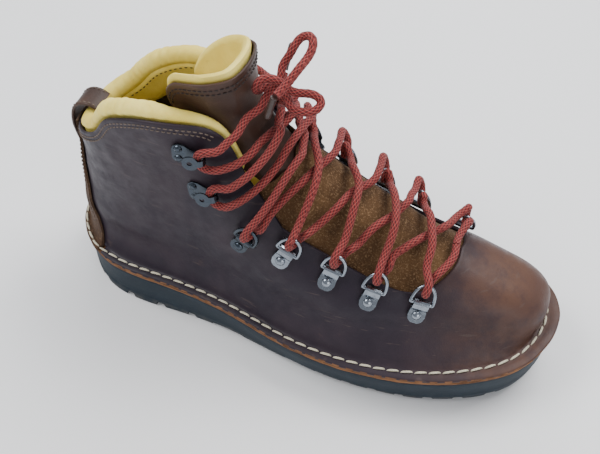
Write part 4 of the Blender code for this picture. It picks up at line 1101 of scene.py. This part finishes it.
def make_gussets():
    for name, side in (("gusset_lateral", -1), ("gusset_medial", 1)):
        def u_of(f, t, side=side):
            hi = throat_u(side, t) - 0.008
            lo = hi - linear([(0.62, 0.03), (0.70, 0.07), (0.78, 0.10), (0.88, 0.08)], t)
            return (lo + (hi - lo) * f) * -side

        loops = sheet_loops(lambda f, w: 0.66 + 0.12 * w, u_of, 4.2, 4.9, 17, 17, dent=0.5, scale=8.0)
        loft(name + "_soft", loops, "yellow", "yellow_leather", stands_for=(name,))


# ---------------------------------------------------------------- padded collar and tongue

def collar_places():
    side = np.linspace(PAD_FROM + 0.006, 1.0, 150)
    cols = [(-1, v) for v in side] + [(1, v) for v in side[-2::-1]]
    place = np.array([edge_column(s, v) for s, v in cols])
    signed = place[:, 1] * np.array([-s for s, _ in cols])
    return cols, place[:, 0], signed


def collar_frame():
    cols, t, u = collar_places()
    at = surface(t, u)
    nrm = normal(t, u)
    tan = np.gradient(at, axis=0)
    tan /= np.linalg.norm(tan, axis=1)[:, None]
    up = np.cross(tan, nrm)
    up *= np.where(up[:, 2] < 0, -1, 1)[:, None]
    up /= np.linalg.norm(up, axis=1)[:, None]
    return cols, at, nrm, up


def make_collar():
    cols, at, nrm, up = collar_frame()
    closed = np.array(PAD_SECTION + PAD_SECTION[:1], float)
    step = np.sqrt(np.linalg.norm(np.diff(closed, axis=0), axis=1))
    knots = np.concatenate([[0], np.cumsum(step)])
    doubled = np.concatenate([closed[-4:-1], closed, closed[1:4]])
    pre = knots[-4:-1] - knots[-1]
    post = knots[1:4] + knots[-1]
    fine = spline(doubled, np.concatenate([pre, knots, post]), np.linspace(0, knots[-1], 320))
    section = by_length(fine, 61)[:-1]
    grads = np.roll(section, -1, 0) - np.roll(section, 1, 0)
    out2 = np.stack([-grads[:, 1], grads[:, 0]], 1)
    out2 /= np.linalg.norm(out2, axis=1)[:, None]
    middle = section.mean(0)
    if ((section - middle) * out2).sum() < 0:
        out2 = -out2
    loops = []
    for i, (s, u0) in enumerate(cols):
        k = float(linear(PAD_SCALE, u0))
        end = min(i, len(cols) - 1 - i)
        k *= float(np.interp(end, [0, 1, 3, 7], [0.15, 0.5, 0.8, 1.0]))
        sec = section.copy()
        x = i * 0.9
        top = np.exp(-((section[:, 0] - 4) / 5.0) ** 2)
        fold = noise.noise(Vector((x / 9.0, s * 3.0, 1.5))) * 0.55
        fold += noise.noise(Vector((x / 3.0, 4, s))) * 0.28
        heel = float(np.interp(u0, [0.72, 0.86, 0.97], [0.35, 1.3, 0.4]))
        crimp = (0.5 + 0.5 * math.sin(x * 1.05)) ** 3 * -0.5 * heel
        sec += out2 * (top * (fold * heel + crimp))[:, None]
        seam = np.exp(-((section[:, 0] + 1.8) / 1.0) ** 2) * (section[:, 1] > 8) * 0.9
        sec -= out2 * seam[:, None]
        loops.append([at[i] + up[i] * a * k - nrm[i] * (2.6 + (d - 2.6) * k) for a, d in sec])
    pad = loft("collar_pad", loops, "yellow", "yellow_leather", stands_for=("collar_padding",))
    start = 12
    rows = slice(start, len(cols) - start)
    ks = np.array([float(linear(PAD_SCALE, v)) for _, v in cols])
    inner = at - up * (4.6 * ks)[:, None] - nrm * (2.6 + (12.05 - 2.6) * ks)[:, None]
    stitches("collar_inner_stitch", inner[rows], -nrm[rows], PAD_STITCH, "dark_thread")


def tongue_place(f, w, t_extra=0.0, limit=1.0):
    top = float(table(TONGUE_TOP, f * 0.42)[0, 0]) + t_extra
    t = 0.72 + (top - 0.72) * w
    u = f * linear(TONGUE_HALF, t) * limit
    return t, u


def make_tongue():
    loops = []
    w = np.concatenate([np.linspace(0, 0.96, 38), [0.985, 1.0]])
    for f in np.linspace(-1, 1, 73):
        t, u = tongue_place(f, w)
        bow = dents(t, u, 0.0, 0.7, 16, 11.0)
        outer = skin(t, u, tongue_depth(u, t, 0.0) + np.maximum(bow, -0.15) * 0.8)
        inner = skin(t, u, tongue_depth(u, t, 0.0) + 1.8)
        loops.append(rounded(outer, inner, 0.4))
    loft("tongue_face", loops, "tongue", "tongue_leather", stands_for=("tongue_outer",))
    loops = []
    for f in np.linspace(-1, 1, 61):
        t, u = tongue_place(f, w, 0.012, 0.96)
        t2, u2 = tongue_place(f, w, 0.008, 0.96)
        outer = skin(t, u, tongue_depth(u, t, 2.8))
        inner = skin(t2, u2, tongue_depth(u2, t2, 7.3))
        loops.append(rounded(outer, inner, 0.62))
    pad = loft("tongue_pad", loops, "yellow", "yellow_leather", stands_for=("tongue_lining",))
    for row, back in enumerate((0.021, 0.040)):
        f = np.linspace(-0.93, 0.93, 160)
        tops = np.array([tongue_place(v, np.array([1.0]))[0][0] for v in f]) - back
        u = f * linear(TONGUE_HALF, tops)
        depth = tongue_depth(u, tops, 0.0)
        p = skin(tops, u, depth - 0.1)
        stitches("tongue_stitch_%d" % (row + 1), p, normal(tops, u), TONGUE_STITCH, "dark_thread")


def make_pull_loop():
    n = 70
    run = through([(x, 3.0, z) for x, z in PULL_PATH], n)
    tan = np.gradient(run, axis=0)
    tan /= np.linalg.norm(tan, axis=1)[:, None]
    off = np.cross(tan, (0.0, 1.0, 0.0)) * 0.8
    half = np.interp(np.linspace(0, 1, n), [0, 0.3, 1], [6.0, 7.5, 7.5])
    loops = []
    for p, o, h in zip(run, off, half):
        wide = np.array((0.0, 1.0, 0.0))
        across = np.linspace(-1, 1, 9) * (h - 0.3)
        face = [p + o + wide * a for a in across]
        back = [p - o + wide * a for a in across[::-1]]
        loops.append(face + [p + o * 0.6 + wide * h, p - o * 0.6 + wide * h] + back
                     + [p - o * 0.6 - wide * h, p + o * 0.6 - wide * h])
    loft("heel_pull", loops, "tongue", "tongue_leather", stands_for=("pull_loop",))
    for s in (-1, 1):
        edge = run[3:-3] + off[3:-3] + np.column_stack([np.zeros(n - 6), s * (half[3:-3] - 1.5),
                                                         np.zeros(n - 6)])
        stitches("heel_pull_stitch_%s" % ("lateral" if s < 0 else "medial"), edge, off[3:-3],
                 PULL_STITCH, "pale_thread")


# ---------------------------------------------------------------- sole

def sole_loops(rows, levels, extra):
    """Closed plan loops through both sides for each fraction along the foot."""
    loops = []
    for u0 in rows:
        side = []
        for s in (-1, 1):
            col = []
            for f, share in levels:
                at = sole_point(s, u0, 0.0)[0]
                tuck = float(linear(TREAD_TUCK, at[0]))
                p = sole_point(s, u0, 0.4 + tuck * share + extra(f))[0]
                low = float(tread(p[0]))
                high = float(welt(p[0])) - (FLANGE_T + MIDSOLE_T + 2 * GAP)
                col.append((p[0], p[1], low + (high - low) * f))
            side.append(col)
        loops.append(side[0] + side[1][::-1])
    return loops


# Fractions up the side wall, each with its share of the tread's tuck.
SIDE_LEVELS = [(0.0, 1.0), (0.02, 0.86), (0.06, 0.76), (0.11, 0.70), (0.25, 0.52), (0.26, 0.44),
               (0.30, 0.40), (0.5, 0.3), (0.68, 0.17), (0.85, 0.05), (0.93, 0.05), (0.97, 0.05),
               (1.0, 0.1)]


def ledge(f):
    """Moulded ledge: the lower band stands out a little from the side wall."""
    return float(np.interp(f, [0.0, 0.24, 0.27, 0.92, 0.95, 1.0], [-0.3, -0.3, 0.35, 0.3, 0.0, 0.25]))


def make_outsole():
    rows = (1 - np.cos(np.linspace(0, math.pi, 141))) / 2
    loops = sole_loops(rows[1:-1], SIDE_LEVELS, ledge)
    sole = loft("lugged_outsole", loops, "rubber", "outsole_rubber", stands_for=("outsole",))
    cutters = []
    for x, half, depth in LUG_GROOVES:
        base = float(tread(x))
        prof = [(x - half - 1.4, base - 3), (x + half + 1.4, base - 3),
                (x + half + 0.2, base + depth - 0.7), (x + half - 0.6, base + depth),
                (x - half + 0.6, base + depth), (x - half - 0.2, base + depth - 0.7)]
        slant = 6.0 if x > -60 else 2.0
        runs = [[(px - slant * (y / 60.0) ** 2, y, pz) for px, pz in prof]
                for y in (-75, -52, -30, -15, 0, 15, 30, 52, 75)]
        mesh = bpy.data.meshes.new("groove")
        verts = np.array(runs).reshape(-1, 3) * MM
        mesh.from_pydata(verts.tolist(), [], [tuple(map(int, f)) for f in tube_faces(9, 6)])
        bm = bmesh.new()
        bm.from_mesh(mesh)
        bmesh.ops.recalc_face_normals(bm, faces=bm.faces)
        bm.to_mesh(mesh)
        bm.free()
        cutter = bpy.data.objects.new("groove", mesh)
        bpy.context.scene.collection.objects.link(cutter)
        cutters.append(cutter)
    tools = bpy.data.collections.new("groove_tools")
    bpy.context.scene.collection.children.link(tools)
    for cutter in cutters:
        bpy.context.scene.collection.objects.unlink(cutter)
        tools.objects.link(cutter)
    cut = sole.modifiers.new("grooves", "BOOLEAN")
    cut.operation = "DIFFERENCE"
    cut.solver = "EXACT"
    cut.operand_type = "COLLECTION"
    cut.collection = tools
    graph = bpy.context.evaluated_depsgraph_get()
    done = bpy.data.meshes.new_from_object(sole.evaluated_get(graph))
    sole.modifiers.clear()
    sole.data = done
    done.shade_smooth()
    done.set_sharp_from_angle(angle=math.radians(38))
    for cutter in cutters:
        bpy.data.objects.remove(cutter)
    bpy.data.collections.remove(tools)


def make_midsole():
    rows = (1 - np.cos(np.linspace(0, math.pi, 171))) / 2
    rows[0], rows[-1] = 0.004, 0.996
    loops = []
    for u0 in rows:
        side = []
        for s in (-1, 1):
            col = []
            for f, inset in ((0.0, 0.45), (0.12, 0.12), (0.5, 0.0), (0.88, 0.12), (1.0, 0.45)):
                at = sole_point(s, u0, 0.0)[0]
                rag = noise.noise(Vector((at[0] / 6, at[1] / 6, f * 1.5))) * 0.28
                p = sole_point(s, u0, inset + 0.3 + rag)[0]
                top = float(welt(p[0])) - FLANGE_T - GAP
                col.append((p[0], p[1], top - MIDSOLE_T * (1 - f)))
            side.append(col)
        loops.append(side[0] + side[1][::-1])
    loft("midsole_edge", loops, "edge", "edge_leather", stands_for=("leather_midsole",))


# ---------------------------------------------------------------- metal and laces

def button(base, axis, across, rows):
    """Turned shape: rows of (radius, height) about an axis."""
    third = np.cross(axis, across)
    ang = np.arange(28) * 2 * math.pi / 28
    return [base + axis * c + r * (np.cos(ang)[:, None] * across + np.sin(ang)[:, None] * third)
            for r, c in rows]


# Domed rivet head: radius and height.
RIVET_HEAD = [(2.7, 0.0), (2.72, 0.22), (2.62, 0.42), (2.3, 0.85), (1.75, 1.25), (1.05, 1.55),
              (0.35, 1.7)]


def make_rings():
    for label, spot in RING_SPOTS.items():
        look, slot = ("gunmetal", "gunmetal") if label.endswith("_5") else ("nickel", "bright_nickel")
        bar, reach, across, _ = ring_frame(spot)
        q = np.linspace(0, math.pi, 61)
        arc = np.stack([RING_W * np.cos(q), RING_H * np.sin(q) ** 0.8], 1)
        line = np.linspace(-RING_W, RING_W, 15)[1:-1]
        loop = np.concatenate([arc, np.stack([line, np.zeros(13)], 1)])
        loop = by_length(np.concatenate([loop, loop[:1]]), 91)[:-1]
        soft = (np.roll(loop, 1, 0) + loop * 2 + np.roll(loop, -1, 0)) / 4
        pts = bar + across * soft[:, :1] + reach * soft[:, 1:]
        loft("ring_" + label, wire(pts, BAR_R, 14, closed=True), look, slot, closed=True,
             body="ring_" + label, stands_for=("d_ring_" + label,))
        base, along, _, n = spot_frame(spot)
        loft("rivet_" + label, button(base + n * (CLIP_TOP + 0.1), n, along, RIVET_HEAD), look, slot,
             stands_for=("clip_rivet_" + label,))


def round_edges(obj, width):
    bevel = obj.modifiers.new("edges", "BEVEL")
    bevel.width = width * MM
    bevel.segments = 2
    bevel.limit_method = "ANGLE"
    bevel.angle_limit = math.radians(38)


def dress(node, look):
    obj = frame["nodes"][node]
    obj.data.materials.clear()
    obj.data.materials.append(LOOK[look])
    return obj


def make_metal():
    for label in RING_SPOTS:
        clip = dress("d_ring_clip_" + label, "gunmetal" if label.endswith("_5") else "nickel")
        round_edges(clip, 0.22)
    for label in HOOK_SPOTS:
        round_edges(dress("lace_hook_" + label, "gunmetal"), 0.2)


LOOK_LACE_R = LACE_R * 0.965


def make_laces():
    runs = lace_runs()
    for half, raw in zip(("near", "far"), runs):
        run = raw[:-13]
        step = 0.62
        length = np.linalg.norm(np.diff(raw, axis=0), axis=1)[:len(run) - 1].sum()
        n = int(length / step)
        path = through(np.vstack([MIDDLE, run[3::3]]), n)
        sides = 16
        rows = np.arange(n)
        radius = LOOK_LACE_R * (1 + 0.016 * np.sin(rows * 1.9))
        loops = wire(path, radius, sides)
        ang = np.arange(sides) * 2 * math.pi / sides
        twist = rows[:, None] * 0.62
        bumps = np.sin(ang[None] * 4 + twist) * np.sin(ang[None] * 4 - twist)
        loops += (loops - path[:, None]) * (bumps[:, :, None] * 0.050)
        uv = np.stack(np.broadcast_arrays(np.arange(sides)[None] / sides, rows[:, None] * step / 3.2), 2)
        cord = loft("lace_" + half, loops, "lace", "lace_braid", uv=uv.reshape(-1, 2),
                    stands_for=("lace_%s_half" % half,))
        way = (raw[-7] - raw[-14]) / np.linalg.norm(raw[-7] - raw[-14])
        tip = raw[-14] + way * np.linspace(-0.8, 13.0, 30)[:, None]
        grip = np.interp(np.linspace(0, 1, 30), [0, 0.05, 0.1, 0.93, 1.0], [1.75, 1.9, 1.72, 1.66, 1.1])
        aglet = loft("aglet_tip_" + half, wire(tip, grip, 16), "aglet", "aglet_plastic",
                     stands_for=("aglet_" + half,))


def dress_inner():
    for node, look in (("insole_board", "board"), ("footbed", "foam"), ("shank", "steel"),
                       ("toe_puff", "stiffener"), ("heel_counter", "stiffener"), ("lining", "yellow")):
        dress(node, look)


make_upper()
make_upper_stitching()
make_welt_stitches()
make_heel_strip()
make_cover()
make_gussets()
make_collar()
make_tongue()
make_pull_loop()
make_outsole()
make_midsole()
make_rings()
make_metal()
make_laces()
dress_inner()


# ---------------------------------------------------------------- floor, light, camera

def make_floor():
    mesh = bpy.data.meshes.new("floor")
    mesh.from_pydata([(-4, -4, 0), (4, -4, 0), (4, 4, 0), (-4, 4, 0)], [], [(0, 1, 2, 3)])
    floor = bpy.data.objects.new("floor", mesh)
    floor.location = (0, 0, -0.0004)
    bpy.context.scene.collection.objects.link(floor)
    look = Look("pale_floor", (0.86, 0.86, 0.86), 0.6)
    shade = look.span(look.noise(1.2, 2), 0.3, 0.7)
    look.colour(look.mix(shade, (0.85, 0.85, 0.855), (0.88, 0.88, 0.885)))
    mesh.materials.append(look.mat)


def area(name, at, look_at, size, power, colour=(1, 1, 1)):
    data = bpy.data.lights.new(name, "AREA")
    data.shape = "RECTANGLE"
    data.size, data.size_y = size
    data.energy = power
    data.color = colour
    lamp = bpy.data.objects.new(name, data)
    lamp.location = at
    way = Vector(look_at) - Vector(at)
    lamp.rotation_euler = way.to_track_quat("-Z", "Y").to_euler()
    bpy.context.scene.collection.objects.link(lamp)


def make_light():
    area("key", (-0.75, -0.25, 1.15), (-0.03, 0, 0.1), (0.8, 0.6), 13.0)
    area("front", (1.0, -0.9, 0.55), (0, 0, 0.06), (0.8, 0.8), 5.5)
    area("top", (0.42, 0.48, 1.05), (0.09, 0, 0.06), (0.7, 0.6), 13.0)
    area("rim", (-0.3, 1.0, 0.7), (0, 0, 0.1), (0.9, 0.5), 6.0, (0.92, 0.96, 1.0))
    world = bpy.data.worlds.new("studio")
    world.use_nodes = True
    back = world.node_tree.nodes["Background"]
    back.inputs["Color"].default_value = (0.93, 0.95, 1.0, 1.0)
    back.inputs["Strength"].default_value = 0.55
    bpy.context.scene.world = world


def make_camera():
    """High three-quarter view of the outer side: azimuth, elevation and roll in degrees."""
    a, e, roll = (math.radians(v) for v in (20.54, 51.45, -0.56))
    back = Vector((math.sin(a) * math.cos(e), -math.cos(a) * math.cos(e), math.sin(e)))
    at = Vector((-0.0105, 0.0186, 0.046)) + back * 0.5176
    right = (-back).cross(Vector((0, 0, 1))).normalized()
    up = right.cross(-back)
    x = right * math.cos(roll) + up * math.sin(roll)
    y = up * math.cos(roll) - right * math.sin(roll)
    data = bpy.data.cameras.new("camera")
    data.lens = 50
    data.sensor_width = 36
    data.sensor_fit = "HORIZONTAL"
    data.clip_start = 0.01
    camera = bpy.data.objects.new("camera", data)
    camera.matrix_world = Matrix(((x[0], y[0], back[0], at[0]), (x[1], y[1], back[1], at[1]),
                                  (x[2], y[2], back[2], at[2]), (0, 0, 0, 1)))
    bpy.context.scene.collection.objects.link(camera)
    bpy.context.scene.camera = camera


make_floor()
make_light()
make_camera()
